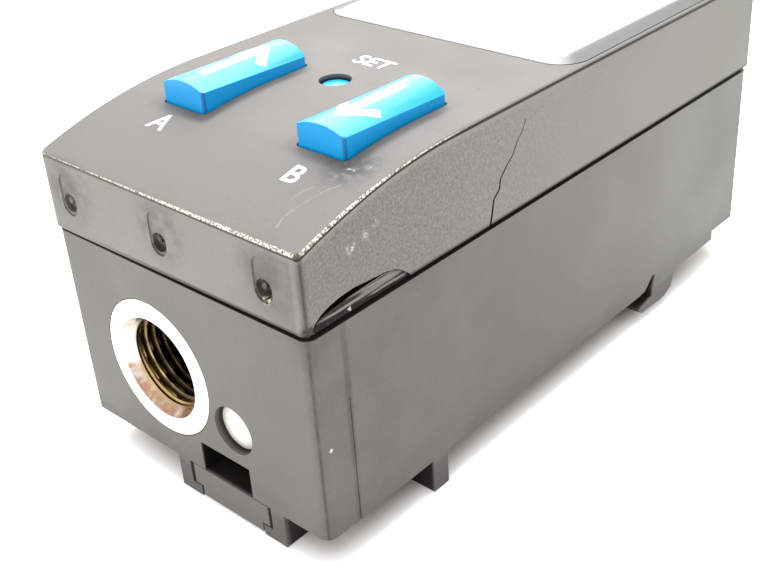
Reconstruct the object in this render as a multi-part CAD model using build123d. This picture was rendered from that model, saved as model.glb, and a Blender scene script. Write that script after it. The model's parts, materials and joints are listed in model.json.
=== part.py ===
"""Digital pneumatic pressure sensor for a 35 mm top-hat rail, with a G1/8 port and an M12 plug connector.

A moulded base and lid hold the port insert, the measuring cell, two circuit boards, an LCD and a sealed
keypad. Two arrow keys, a recessed edit key and the sprung rail latch move. Millimetres, +Z up, the port faces -Y.
The origin is the centre of the bounding box's underside.
"""
from build123d import *
import math
import os

# ---- driving dimensions ------------------------------------------------------------------------
WIDTH = 32.0              # lid, across X
HOUSING_LENGTH = 69.5     # front face to rear face
CONNECTOR_REACH = 11.5    # connector's end beyond the rear face
FOOT_HEIGHT = 3.5         # front rib and latch guide below the underside
BASE_HEIGHT = 20.0        # underside to seam
LID_FRONT_HEIGHT = 6.85   # seam to the lid's front edge
LID_HEIGHT = 10.0         # seam to the flat of the lid
TOP_ARC_LENGTH = 18.0     # front stretch over which the top rises
WALL = 2.0
SEAM_GAP = 0.55           # dark joint line between lid and base
BASE_INSET = 0.15         # base behind the lid's faces
CLEAR = 0.1               # usual gap between neighbouring pieces
SNAP_PLACES = (18, 56)    # snap hooks between lid and base, from the front face

PORT_X, PORT_RISE = -4.1, 9.1        # port centre, above the underside
FLANGE_RADIUS = 6.7
BARREL_RADIUS = 6.0
THREAD_RADIUS = 4.283                # G1/8 minor radius
THREAD_MOUTH_RADIUS = 4.95
THREAD_MOUTH, THREAD_END = 0.8, 9.8  # thread's ends behind the front face
SCREEN_BORE = 3.9
VENT_X, VENT_RISE, VENT_RADIUS = 5.3, 6.6, 2.33
PORT_BOSS, VENT_BOSS = 8.2, 3.4      # radii of the bosses round them, inside the base
MARK_PLACES = (-12.6, -0.5, 11.8)    # moulding marks on the lid's front face
MARK_RISE, MARK_RADIUS = 3.6, 1.0    # their middle above the seam, and the radius of their rounded ends
MARK_HEIGHT = 4.0

RAIL_WIDTH = 35.0
RAIL_FRONT = 15.5                    # rail's front edge, behind the front face
RIB_THICKNESS = 2.0
REAR_FOOT_DEPTH = 2.6                # rear hooks below the underside
HOOK_WIDTH = 8.0
LATCH_X = 3.5

KEY_A_X, KEY_B_X = -7.85, 8.75       # key centres, from the middle
KEY_Y = 16.1                         # and from the front face
KEY_WIDTH, KEY_LENGTH = 5.3, 12.2
KEY_FRONT_RISE, KEY_FRONT_CROWN = 1.2, 0.58    # key's side above the lid, and its crown above that
KEY_REAR_RISE, KEY_REAR_CROWN = 0.85, 1.05
EDIT_X, EDIT_Y, EDIT_RADIUS = -0.35, 21.0, 1.5
KEY_GAP = 0.2

LENS_FRONT, LENS_REAR = 34.5, 66.2   # display lens, from the front face
LENS_WIDTH = 30.9
LENS_CORNER = 3.0
LENS_THICKNESS = 1.6
LENS_PROUD = 0.4
LENS_SLOPE = 1.7                     # width of the sloping edge

CONNECTOR_RISE = 11.4                # connector axis above the underside
M12_RADIUS = 6.0
CONNECTOR_BARREL = 6.4               # its barrel through the wall

# ---- places worked out from them ---------------------------------------------------------------
FRONT = -(HOUSING_LENGTH + CONNECTOR_REACH) / 2
REAR = FRONT + HOUSING_LENGTH
UNDERSIDE = FOOT_HEIGHT
SEAM = UNDERSIDE + BASE_HEIGHT
TOP = SEAM + LID_HEIGHT
TOP_RISE = LID_HEIGHT - LID_FRONT_HEIGHT
TOP_RADIUS = (TOP_ARC_LENGTH ** 2 + TOP_RISE ** 2) / (2 * TOP_RISE)
HALF = WIDTH / 2
BASE_HALF = HALF - BASE_INSET
PORT_Z = UNDERSIDE + PORT_RISE
CONNECTOR_Z = UNDERSIDE + CONNECTOR_RISE
RAIL_REAR = RAIL_FRONT + RAIL_WIDTH
CONNECTOR_FACE = HOUSING_LENGTH - BASE_INSET

LENS_TOP = TOP + LENS_PROUD
LENS_BOTTOM = LENS_TOP - LENS_THICKNESS
TAPE_THICKNESS = 0.15
LENS_LEDGE = LENS_BOTTOM - TAPE_THICKNESS
LENS_MID = (LENS_FRONT + LENS_REAR) / 2
WINDOW_HALF = 12.9                   # opening in the lid under the lens
WINDOW_LENGTH = 26.6

BOARD_BOTTOM = SEAM + 1.9
BOARD_THICKNESS = 1.6
BOARD_TOP = BOARD_BOTTOM + BOARD_THICKNESS
BOARD_HALF = 12.4
BOARD_FRONT, BOARD_REAR = 4.2, 66.2
SCREW_X = (-BOARD_HALF + 2, BOARD_HALF - 2)
SCREW_Y = (BOARD_FRONT + 2, BOARD_REAR - 1.8)
MAT_THICKNESS = 1.0
MAT_TOP = BOARD_TOP + MAT_THICKNESS
KEY_FLANGE_TOP = TOP - 2.75
KEY_FLANGE_BOTTOM = KEY_FLANGE_TOP - 0.8
KEY_TRAVEL = 0.8

LATCH_HALF, LATCH_STEM_HALF = 4.9, 3.95
LATCH_SIDE_GAP = 0.4
LATCH_TOP = UNDERSIDE - CLEAR
LATCH_SHOULDER = UNDERSIDE - 2.3
LATCH_BOTTOM = 0.15
GUIDE_HALF = 6.9
SPRING_FRONT, SPRING_REAR = 6.7, 12.7
SPRING_RADIUS = 0.9
SPRING_Z = LATCH_TOP - 1.0


def block(x0, x1, y0, y1, z0, z1):
    """Box between two corners. Y is counted from the front face."""
    size = (x1 - x0, y1 - y0, z1 - z0)
    return Pos((x0 + x1) / 2, FRONT + (y0 + y1) / 2, (z0 + z1) / 2) * Box(*size)


def rod(x, z, radius, y0, y1):
    """Cylinder along Y, with Y counted from the front face."""
    return Pos(x, FRONT + (y0 + y1) / 2, z) * Rot(90, 0, 0) * Cylinder(radius, y1 - y0)


def post(x, y, radius, z0, z1):
    """Cylinder along Z, with Y counted from the front face."""
    return Pos(x, FRONT + y, (z0 + z1) / 2) * Cylinder(radius, z1 - z0)


def turned(x, z, outline):
    """Solid turned about an axis along Y. outline is a list of (radius, y), y counted from the front face."""
    points = [(radius, FRONT + y) for radius, y in outline]
    face = make_face(Polyline(*points, close=True))
    return Pos(x, 0, z) * revolve(face, Axis.Y)


def seal_ring(x, y, z, ring_radius, cord_radius):
    """O-ring about an axis along Y."""
    return Pos(x, FRONT + y, z) * Rot(90, 0, 0) * Torus(ring_radius, cord_radius)


def rounded_plate(half, y0, y1, corner, z0, z1):
    """Plate with rounded corners, between two heights."""
    plate = block(-half, half, y0, y1, z0, z1)
    return fillet(plate.edges().filter_by(Axis.Z), corner)


def frame(half, y0, y1, z0, z1, width):
    """Rectangular ring of the given width."""
    inner = block(-half + width, half - width, y0 + width, y1 - width, z0 - 1, z1 + 1)
    return block(-half, half, y0, y1, z0, z1) - inner


def extrude_side(face, half):
    """Solid of a side profile in the YZ plane, centred on X."""
    return extrude(face, amount=half, dir=(1, 0, 0), both=True)


def side_polygon(points):
    """Face in the YZ plane from (y, z) points, with y counted from the front face."""
    return make_face(Polyline(*[(0, FRONT + y, z) for y, z in points], close=True))


def arc_height(y, inset):
    """Height of the lid's top, at y from the front face, inset from the outer surface."""
    if y >= TOP_ARC_LENGTH:
        return TOP - inset
    radius = TOP_RADIUS - inset
    return TOP - TOP_RADIUS + math.sqrt(radius ** 2 - (TOP_ARC_LENGTH - y) ** 2)


def lid_profile(inset, bottom):
    """The lid's side outline, inset evenly: flat at the rear, an arc towards the front."""
    front, rear = FRONT + inset, REAR - inset
    arc_end = FRONT + TOP_ARC_LENGTH
    roof = TOP - inset
    nose = arc_height(inset, inset)
    arc = TangentArc((0, arc_end, roof), (0, front, nose), tangent=(0, -1, 0))
    rest = Polyline((0, front, nose), (0, front, bottom), (0, rear, bottom), (0, rear, roof), (0, arc_end, roof))
    return make_face([arc, rest])


# ---- housing -----------------------------------------------------------------------------------
def lid_housing():
    """Upper shell: curved front, window and key openings, inner lip, snap hooks and board posts."""
    shell = extrude_side(lid_profile(0, SEAM), HALF)
    shell = fillet(shell.edges().filter_by(Axis.Z), 0.8)
    top_rim = shell.faces().sort_by(Axis.Z)[-1].edges()
    top_rim = top_rim + shell.edges().filter_by(GeomType.CIRCLE).filter_by(lambda e: e.radius > 20)
    shell = fillet(list(dict.fromkeys(top_rim.filter_by(lambda e: e.length > 10))), 0.35)
    shell -= extrude_side(lid_profile(WALL, SEAM - 1), HALF - WALL)
    lip_half = BASE_HALF - WALL - CLEAR
    lip_end = WALL + BASE_INSET + CLEAR
    lip = frame(lip_half, lip_end, HOUSING_LENGTH - lip_end, SEAM - 1.6, SEAM + 1.2, 1.1)
    shelf = frame(HALF - 1, 1, HOUSING_LENGTH - 1, SEAM + 0.01, SEAM + 1.2, 1.6)
    shell += lip + shelf
    for side in (-1, 1):
        for y in SNAP_PLACES:
            face = side * lip_half
            x0, x1 = sorted((face, face - side * 1.1))
            shell += block(x0, x1, y - 2.5, y + 2.5, SEAM - 6, SEAM)
            barb = [(face - side * 0.2, SEAM - 6), (face + side * 0.6, SEAM - 4.6), (face - side * 0.2, SEAM - 4.4)]
            barb_face = make_face(Polyline(*[(x, FRONT + y - 2.5, z) for x, z in barb], close=True))
            shell += extrude(barb_face, amount=5, dir=(0, 1, 0))
    # notch in the lip over the connector's nut
    shell -= block(-10, 10, 64, 67.35, SEAM - 2, SEAM - 0.4)
    for x in SCREW_X:
        for y, radius in zip(SCREW_Y, (1.6, 1.3)):
            shell += post(x, y, radius, BOARD_TOP, arc_height(y - radius, 1))
            shell -= post(x, y, 0.8, BOARD_TOP - 1, BOARD_TOP + 3)
    # lens pocket and window
    shell -= rounded_plate(LENS_WIDTH / 2 + 0.05, LENS_FRONT - 0.05, LENS_REAR + 0.05, LENS_CORNER, LENS_LEDGE, TOP + 1)
    window = WINDOW_LENGTH / 2
    shell -= rounded_plate(WINDOW_HALF, LENS_MID - window, LENS_MID + window, 1.0, TOP - WALL - 1, TOP)
    # key openings
    for x in (KEY_A_X, KEY_B_X):
        half_x, half_y = KEY_WIDTH / 2 + KEY_GAP, KEY_LENGTH / 2 + KEY_GAP
        hole = block(x - half_x, x + half_x, KEY_Y - half_y, KEY_Y + half_y, TOP - 4, TOP + 1)
        shell -= fillet(hole.edges().filter_by(Axis.Z), 0.5)
    shell -= post(EDIT_X, EDIT_Y, EDIT_RADIUS, TOP - 4, TOP + 1)
    for x in MARK_PLACES:
        shell -= moulding_mark(x, SEAM + MARK_RISE)
    return shell


def moulding_mark(x, z):
    """Cutter of a mark: a shallow upright slot with a deeper ringed dimple low in it."""
    reach = MARK_HEIGHT / 2 - MARK_RADIUS
    depth = 0.12
    slot = rod(x, z + reach, MARK_RADIUS, -1, depth) + rod(x, z - reach, MARK_RADIUS, -1, depth)
    slot += block(x - MARK_RADIUS, x + MARK_RADIUS, -1, depth, z - reach, z + reach)
    dimple = rod(x, z - 0.8, 0.85, -1, 0.6) - rod(x, z - 0.55, 0.3, 0.2, 2)
    return slot + dimple


def base_housing():
    """Lower shell: port boss, vent, connector wall, rail rib and hooks, and the latch guide."""
    front, rear = BASE_INSET, HOUSING_LENGTH - BASE_INSET
    rim = SEAM - SEAM_GAP
    shell = block(-BASE_HALF, BASE_HALF, front, rear, UNDERSIDE, rim)
    shell = fillet(shell.edges().filter_by(Axis.Z), 1.0)
    shell -= block(-BASE_HALF - 1, BASE_HALF + 1, 64.0, HOUSING_LENGTH + 1, 0, UNDERSIDE + 1.1)
    shell -= block(-BASE_HALF + WALL, BASE_HALF - WALL, front + WALL, rear - WALL, UNDERSIDE + WALL, SEAM + 1)
    shell += block(-BASE_HALF + 1, BASE_HALF - 1, 60, rear - 1, UNDERSIDE + 1.5, UNDERSIDE + 3.2)
    # bosses of the port and the vent
    shell += rod(PORT_X, PORT_Z, PORT_BOSS, 1, 24) - block(-20, 20, 0, 30, -5, UNDERSIDE + 0.5)
    shell += rod(VENT_X, UNDERSIDE + VENT_RISE, VENT_BOSS, 1, 5)
    # latch guide, then the port, the vent, the T-slot and the driver pocket above the latch
    guide_top = UNDERSIDE + 0.5
    shell += block(LATCH_X - GUIDE_HALF, LATCH_X + GUIDE_HALF, front, RAIL_FRONT - 0.2, 0, guide_top)
    shell += block(LATCH_X - 4.4, LATCH_X + 4.4, front + 1, 8.2, UNDERSIDE + 1, UNDERSIDE + 4.3)
    shell -= rod(PORT_X, PORT_Z, FLANGE_RADIUS + 0.03, -1, 1.7)
    shell -= rod(PORT_X, PORT_Z, BARREL_RADIUS + 0.05, 0, 25)
    shell -= rod(VENT_X, UNDERSIDE + VENT_RISE, VENT_RADIUS, -1, 2.2)
    shell -= rod(VENT_X, UNDERSIDE + VENT_RISE, 0.9, 0, 6)
    slot, stem = LATCH_HALF + LATCH_SIDE_GAP, LATCH_STEM_HALF + 0.2
    shell -= block(LATCH_X - slot, LATCH_X + slot, -1, 20, LATCH_SHOULDER - CLEAR, UNDERSIDE)
    shell -= block(LATCH_X - stem, LATCH_X + stem, -1, 20, -1, UNDERSIDE)
    shell -= block(LATCH_X - 3.15, LATCH_X + 3.15, -1, 5.2, UNDERSIDE - 1, UNDERSIDE + 3.1)
    shell += block(LATCH_X - 1.1, LATCH_X + 1.1, 5.5, 6.5, LATCH_TOP - 1.75, UNDERSIDE + 0.5)
    # rail rib beside the guide, flush with both sides
    rib_front = RAIL_FRONT - 0.2 - RIB_THICKNESS
    for x0, x1 in ((-BASE_HALF, LATCH_X - GUIDE_HALF + 0.5), (LATCH_X + GUIDE_HALF - 0.5, BASE_HALF)):
        shell += block(x0, x1, rib_front, RAIL_FRONT - 0.2, 0, guide_top)
    # rear hooks, whose slanted mouth lets the rail in
    low = UNDERSIDE - REAR_FOOT_DEPTH
    outline = [(54.6, UNDERSIDE + 0.5), (55.4, UNDERSIDE - 0.4), (54.8, UNDERSIDE - 1.9), (53.6, low + 0.1),
               (52.6, low), (48.6, low + 0.2), (47.9, low + 0.7), (48.3, low + 1.0),
               (RAIL_REAR + 0.2, UNDERSIDE - 1.15), (RAIL_REAR + 0.2, UNDERSIDE + 0.5)]
    mouth = [(46.4, UNDERSIDE - 0.2), (49.2, UNDERSIDE + 0.15), (RAIL_REAR, UNDERSIDE + 1.4),
             (RAIL_REAR + 0.7, UNDERSIDE + 1.4), (RAIL_REAR + 0.2, UNDERSIDE - 0.2)]
    hook = extrude(side_polygon(outline), amount=HOOK_WIDTH, dir=(1, 0, 0))
    cut = extrude(side_polygon(mouth), amount=HOOK_WIDTH, dir=(1, 0, 0))
    for x in (-BASE_HALF, BASE_HALF - HOOK_WIDTH):
        shell = shell + Pos(x, 0, 0) * hook - Pos(x, 0, 0) * cut
    # connector wall
    shell -= rod(0, CONNECTOR_Z, CONNECTOR_BARREL + 0.05, 60, HOUSING_LENGTH + 1)
    shell -= rod(0, CONNECTOR_Z, 7.65, CONNECTOR_FACE - 0.7, HOUSING_LENGTH + 1)
    # seal groove in the rim and snap pockets for the lid's hooks
    shell -= frame(BASE_HALF - 0.5, front + 0.5, rear - 0.5, rim - 0.45, SEAM + 1, 1.0)
    for side in (-1, 1):
        wall = side * (BASE_HALF - WALL)
        for y in SNAP_PLACES:
            x0, x1 = sorted((wall - side * 0.1, wall + side * 0.8))
            shell -= block(x0, x1, y - 2.8, y + 2.8, SEAM - 6.1, SEAM - 4.2)
    # fine mould line near the front corners
    for x in (-BASE_HALF, BASE_HALF):
        shell -= block(x - 0.06, x + 0.06, 3.85, 3.97, UNDERSIDE, UNDERSIDE + 12.5)
    return shell


def housing_gasket():
    """Foam seal in the base's rim."""
    front, rear = BASE_INSET, HOUSING_LENGTH - BASE_INSET
    bottom = SEAM - SEAM_GAP - 0.44
    return frame(BASE_HALF - 0.55, front + 0.55, rear - 0.55, bottom, SEAM - 0.01, 0.9)


# ---- display -----------------------------------------------------------------------------------
def display_lens():
    """Clear lens whose upper edge slopes down to the lid."""
    lens = rounded_plate(LENS_WIDTH / 2, LENS_FRONT, LENS_REAR, LENS_CORNER, LENS_BOTTOM, LENS_TOP)
    top = lens.faces().sort_by(Axis.Z)[-1]
    lens = chamfer(top.edges(), LENS_SLOPE, LENS_PROUD - 0.05, reference=top)
    return fillet(lens.faces().sort_by(Axis.Z)[-1].edges(), 0.4)


def lens_tape():
    """Adhesive frame under the lens."""
    outer = rounded_plate(LENS_WIDTH / 2 - 0.1, LENS_FRONT + 0.1, LENS_REAR - 0.1, LENS_CORNER, LENS_LEDGE, LENS_BOTTOM)
    window = WINDOW_LENGTH / 2 + 0.3
    return outer - block(-WINDOW_HALF - 0.3, WINDOW_HALF + 0.3, LENS_MID - window, LENS_MID + window, 0, TOP)


LCD_MID = LENS_MID - 0.75
LCD_TOP = LENS_LEDGE - 0.2
LCD_BOTTOM = LCD_TOP - 1.8
LCD_HALF, LCD_LENGTH = 12.0, 25.0


def display_mask():
    """Thin printed mask round the LCD's view area."""
    half_y = WINDOW_LENGTH / 2 - 0.1
    y0, y1 = LENS_MID - half_y, LENS_MID + half_y
    mask = rounded_plate(WINDOW_HALF - 0.1, y0, y1, 1.0, LCD_TOP, LENS_BOTTOM - 0.02)
    return mask - block(-11.2, 11.2, LCD_MID - 10.4, LCD_MID + 11.4, 0, TOP)


def lcd_panel():
    """Glass of the LCD, with its contact ledge at the front."""
    half_y = LCD_LENGTH / 2
    upper = block(-LCD_HALF, LCD_HALF, LCD_MID - half_y + 2, LCD_MID + half_y, LCD_BOTTOM + 0.9, LCD_TOP)
    lower = block(-LCD_HALF, LCD_HALF, LCD_MID - half_y, LCD_MID + half_y, LCD_BOTTOM, LCD_BOTTOM + 0.9)
    return upper + lower


def lcd_backlight():
    """Light guide under the LCD."""
    half_y = LCD_LENGTH / 2
    return block(-LCD_HALF, LCD_HALF, LCD_MID - half_y + 4.2, LCD_MID + half_y, BOARD_TOP + 0.5, LCD_BOTTOM - 0.05)


def lcd_holder():
    """Black frame that carries LCD, light guide and contact strip."""
    half_y = LCD_LENGTH / 2 + 0.9
    outer = block(-LCD_HALF - 0.9, LCD_HALF + 0.9, LCD_MID - half_y, LCD_MID + half_y, BOARD_TOP + 0.02, TOP - WALL - 0.1)
    inner_y = LCD_LENGTH / 2 + 0.1
    return outer - block(-LCD_HALF - 0.1, LCD_HALF + 0.1, LCD_MID - inner_y, LCD_MID + inner_y, 0, TOP)


def contact_strip():
    """Elastomer strip between the LCD's ledge and the board."""
    start = LCD_MID - LCD_LENGTH / 2 + 0.3
    return block(-11, 11, start, start + 1.8, BOARD_TOP, LCD_BOTTOM)


# ---- boards ------------------------------------------------------------------------------------
def main_board():
    """Upper circuit board, screwed to the lid's posts."""
    board = block(-BOARD_HALF, BOARD_HALF, BOARD_FRONT, BOARD_REAR, BOARD_BOTTOM, BOARD_TOP)
    for x in SCREW_X:
        for y in SCREW_Y:
            board -= post(x, y, 1.1, BOARD_BOTTOM - 1, BOARD_TOP + 1)
    return board


def board_screws():
    """Four pan-head screws that hold the main board."""
    screws = []
    for x in SCREW_X:
        for y in SCREW_Y:
            head = post(x, y, 1.7, BOARD_BOTTOM - 1.2, BOARD_BOTTOM)
            head = fillet(head.faces().sort_by(Axis.Z)[0].edges(), 0.5)
            screw = head + post(x, y, 0.78, BOARD_BOTTOM - 0.2, BOARD_TOP + 2.6)
            for turn in (0, 90):
                slot = Pos(x, FRONT + y, BOARD_BOTTOM - 1.0) * Rot(0, 0, turn) * Box(1.9, 0.4, 0.8)
                screw -= slot
            screws.append(screw)
    return Compound(children=screws)


def microcontroller():
    """Flat square chip with its leads in one outline."""
    x, y, top = 2.0, 45.0, BOARD_BOTTOM
    chip = block(x - 5, x + 5, y - 5, y + 5, top - 1.5, top - 0.1)
    for i in range(10):
        step = -3.6 + 0.8 * i
        chip += block(x - 6.2, x + 6.2, y + step - 0.15, y + step + 0.15, top - 0.35, top)
        chip += block(x + step - 0.15, x + step + 0.15, y - 6.2, y + 6.2, top - 0.35, top)
    return chip


def board_components():
    """Small parts under the main board: capacitors, resistors and two output switches."""
    spots = [
        (-8.5, 38, 1.6, 0.8, 0.7),
        (-8.5, 41, 1.6, 0.8, 0.7),
        (-8.5, 44, 1.6, 0.8, 0.7),
        (10.3, 38, 1.6, 0.8, 0.7),
        (10.3, 41, 1.6, 0.8, 0.7),
        (-7, 54, 3.2, 2.5, 1.6),
        (7, 54, 3.2, 2.5, 1.6),
        (0, 54, 3.5, 2.8, 1.9),
        (-8, 20, 2.0, 1.2, 0.9),
        (8, 20, 2.0, 1.2, 0.9),
    ]
    parts = []
    for x, y, a, b, h in spots:
        parts.append(block(x - a / 2, x + a / 2, y - b / 2, y + b / 2, BOARD_BOTTOM - h, BOARD_BOTTOM))
    return Compound(children=parts)


FLEX_THICKNESS = 0.2
FLEX_X0, FLEX_X1 = PORT_X - 4, PORT_X + 4
FLEX_Y = 28.6
FLEX_BEND = 2.0


def flex_cable():
    """Flat lead from the sensor board up to the main board's socket, clamped at both ends."""
    inner, outer = FLEX_BEND, FLEX_BEND + FLEX_THICKNESS
    level = BOARD_BOTTOM - 0.7
    bottom = PORT_Z + 4.2
    corner_z = level - inner
    turn_y = FLEX_Y + inner
    start, end = FRONT + FLEX_Y, FRONT + turn_y
    tail = end + 4
    mid = math.sqrt(0.5)
    lines = [
        Line((0, start, bottom), (0, start, corner_z)),
        ThreePointArc((0, start, corner_z), (0, end - inner * mid, corner_z + inner * mid), (0, end, level)),
        Line((0, end, level), (0, tail, level)),
        Line((0, tail, level), (0, tail, level + FLEX_THICKNESS)),
        Line((0, tail, level + FLEX_THICKNESS), (0, end, level + FLEX_THICKNESS)),
        ThreePointArc((0, end, corner_z + outer), (0, end - outer * mid, corner_z + outer * mid),
                      (0, start - FLEX_THICKNESS, corner_z)),
        Line((0, start - FLEX_THICKNESS, corner_z), (0, start - FLEX_THICKNESS, bottom)),
        Line((0, start - FLEX_THICKNESS, bottom), (0, start, bottom)),
    ]
    strip = extrude(make_face(lines), amount=FLEX_X1 - FLEX_X0, dir=(1, 0, 0))
    return Pos(FLEX_X0, 0, 0) * strip


def flex_sockets():
    """Clamp sockets of the flat lead, one on each board."""
    level = BOARD_BOTTOM - 0.7
    tail = FLEX_Y + FLEX_BEND + 4
    upper = block(FLEX_X0 - 1, FLEX_X1 + 1, tail - 2.6, tail - 0.1, BOARD_BOTTOM - 1.3, BOARD_BOTTOM)
    upper -= block(FLEX_X0 - 0.1, FLEX_X1 + 0.1, tail - 3, tail + 0.2, level - 0.05, level + FLEX_THICKNESS + 0.05)
    lower = block(FLEX_X0 - 1, FLEX_X1 + 1, 27.42, 29.4, PORT_Z + 3.2, PORT_Z + 6.2)
    lower -= block(FLEX_X0 - 0.1, FLEX_X1 + 0.1, FLEX_Y - 0.3, FLEX_Y + 0.1, PORT_Z + 4.1, PORT_Z + 8)
    return Compound(children=[upper, lower])


# ---- pneumatics --------------------------------------------------------------------------------
def port_insert():
    """Nickel-plated port: flange, G1/8 bore with a wide lead-in, seal groove and nozzle."""
    outline = [
        (THREAD_MOUTH_RADIUS, 0.1), (FLANGE_RADIUS - 0.15, 0.1), (FLANGE_RADIUS, 0.25), (FLANGE_RADIUS, 1.6),
        (BARREL_RADIUS, 1.6), (BARREL_RADIUS, 10.6), (4.75, 10.6), (4.75, 12.2), (BARREL_RADIUS, 12.2),
        (BARREL_RADIUS, 13.4), (3.0, 13.4), (3.0, 15.6), (1.5, 15.6), (1.5, THREAD_END + 2.6),
        (SCREEN_BORE, THREAD_END + 1.0), (SCREEN_BORE, THREAD_END), (THREAD_RADIUS, THREAD_END),
        (THREAD_RADIUS, THREAD_MOUTH),
    ]
    return turned(PORT_X, PORT_Z, outline)


def port_seal():
    """O-ring in the insert's groove."""
    return seal_ring(PORT_X, 11.4, PORT_Z, 5.4, 0.62)


def inlet_screen():
    """Sintered disc that keeps dirt out of the measuring cell."""
    return rod(PORT_X, PORT_Z, SCREEN_BORE - 0.03, THREAD_END + 0.05, THREAD_END + 0.95)


def cell_seal():
    """O-ring between the nozzle and the measuring cell."""
    return seal_ring(PORT_X, 14.55, PORT_Z, 3.85, 0.8)


def sensor_cell():
    """Steel measuring cell with a stepped back."""
    outline = [(0, 17.0), (1.6, 17.0), (1.6, 15.7), (5.9, 15.7), (5.9, 21.5), (5.0, 21.5), (5.0, 23.0), (0, 23.0)]
    return turned(PORT_X, PORT_Z, outline)


def sensor_retainer():
    """Plate that holds the cell in its bore."""
    plate = block(PORT_X - 7.4, PORT_X + 7.4, 24.05, 25.2, PORT_Z - 6, PORT_Z + 6)
    plate = fillet(plate.edges().filter_by(Axis.Y), 1.5)
    nose = rod(PORT_X, PORT_Z, 5.8, 23.05, 24.2) - rod(PORT_X, PORT_Z, 4.9, 22, 26)
    return plate - rod(PORT_X, PORT_Z, 4.9, 23, 26) + nose


def retainer_screws():
    """Two screws through the retainer's corners."""
    screws = []
    for side in (-1, 1):
        x, z = PORT_X + side * 5.9, PORT_Z + side * 4.6
        screws.append(rod(x, z, 1.2, 25.2, 26.1))
    return Compound(children=screws)


def sensor_board():
    """Upright board on the cell's leads."""
    board = block(PORT_X - 7, PORT_X + 7, 26.3, 27.4, PORT_Z - 5.5, PORT_Z + 6.5)
    for x, z in sensor_lead_places():
        board -= rod(x, z, 0.32, 26, 28)
    return board


def sensor_lead_places():
    return [(PORT_X + dx, PORT_Z + dz) for dx in (-2, 2) for dz in (-2, 2)]


def sensor_leads():
    """Four leads of the cell."""
    return Compound(children=[rod(x, z, 0.25, 23.0, 27.8) for x, z in sensor_lead_places()])


def vent_plug():
    """White porous disc that lets the reference side breathe."""
    disc = rod(VENT_X, UNDERSIDE + VENT_RISE, VENT_RADIUS - 0.05, 0.85, 2.15)
    return fillet(disc.faces().sort_by(Axis.Y)[0].edges(), 0.25)


# ---- connector ---------------------------------------------------------------------------------
CONNECTOR_END = HOUSING_LENGTH + CONNECTOR_REACH


def connector_shell():
    """M12 plug shell: hexagon flange outside, thread, and a barrel through the wall."""
    bore, face = 4.95, CONNECTOR_FACE
    outline = [
        (bore, CONNECTOR_END), (M12_RADIUS - 0.6, CONNECTOR_END), (M12_RADIUS, CONNECTOR_END - 0.6),
        (M12_RADIUS, face + 2.6), (9.3, face + 2.6), (9.3, face), (CONNECTOR_BARREL, face),
        (CONNECTOR_BARREL, face - 6.0), (bore, face - 6.0),
    ]
    shell = turned(0, CONNECTOR_Z, outline)
    hexagon = extrude(Plane.XZ * RegularPolygon(8.0, 6, major_radius=False), amount=-2.7)
    hexagon = Pos(0, FRONT + face - 0.05, CONNECTOR_Z) * hexagon
    outside = rod(0, CONNECTOR_Z, 12, face, face + 2.6) - hexagon
    return shell - outside


def connector_insulator():
    """Plastic carrier of the four contacts, with its coding key."""
    face = CONNECTOR_FACE
    body = rod(0, CONNECTOR_Z, CONNECTOR_BARREL - 0.1, face - 7.0, face - 6.02)
    body += rod(0, CONNECTOR_Z, 4.9, face - 6.5, face + 2.4)
    body += block(-0.6, 0.6, face + 2, face + 9.5, CONNECTOR_Z + 4.0, CONNECTOR_Z + 4.85)
    for x, z in pin_places():
        body -= rod(x, z, 0.52, face - 8, face + 4)
    return body


def pin_places():
    radius = 2.5
    places = []
    for angle in (45, 135, 225, 315):
        turn = math.radians(angle)
        places.append((radius * math.cos(turn), CONNECTOR_Z + radius * math.sin(turn)))
    return places


def connector_pins():
    """Four gold-plated pins with rounded tips."""
    pins = []
    for x, z in pin_places():
        pin = rod(x, z, 0.5, 60.2, CONNECTOR_FACE + 8.9)
        pins.append(chamfer(pin.faces().sort_by(Axis.Y)[-1].edges(), 0.2))
    return Compound(children=pins)


def connector_seal():
    """Flat ring in the wall, under the connector's flange."""
    outer = rod(0, CONNECTOR_Z, 7.6, CONNECTOR_FACE - 0.7, CONNECTOR_FACE)
    return outer - rod(0, CONNECTOR_Z, CONNECTOR_BARREL + 0.05, 60, 80)


def connector_nut():
    """Hexagon nut on the inside of the rear wall."""
    wall_face = CONNECTOR_FACE - WALL
    nut = extrude(Plane.XZ * RegularPolygon(8.0, 6, major_radius=False), amount=-2.4)
    nut = Pos(0, FRONT + wall_face - 2.42, CONNECTOR_Z) * nut
    return nut - rod(0, CONNECTOR_Z, CONNECTOR_BARREL + 0.02, 60, 70)


def connector_board():
    """Upright board soldered to the pins."""
    board = block(-9, 9, 60.6, 61.8, CONNECTOR_Z - 7.2, CONNECTOR_Z + 7.0)
    for x, z in pin_places():
        board -= rod(x, z, 0.56, 60, 63)
    return board


def board_header():
    """Angled header from the connector board to the main board."""
    carrier = block(-5, 5, 58.4, 60.58, SEAM - 3.4, SEAM - 1.2)
    for i in range(4):
        x = -3.81 + 2.54 * i
        carrier += block(x - 0.32, x + 0.32, 59.2, 59.84, SEAM - 3.0, BOARD_BOTTOM)
    return carrier


# ---- keypad ------------------------------------------------------------------------------------
def key_end(x, y, rise, crown):
    """End face of a key: straight sides under an arched top."""
    half = KEY_WIDTH / 2
    side_top, bottom = TOP + rise, KEY_FLANGE_TOP - 0.1
    arch = ThreePointArc((x - half, y, side_top), (x, y, side_top + crown), (x + half, y, side_top))
    rest = Polyline((x + half, y, side_top), (x + half, y, bottom), (x - half, y, bottom), (x - half, y, side_top))
    return make_face([arch, rest])


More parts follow.
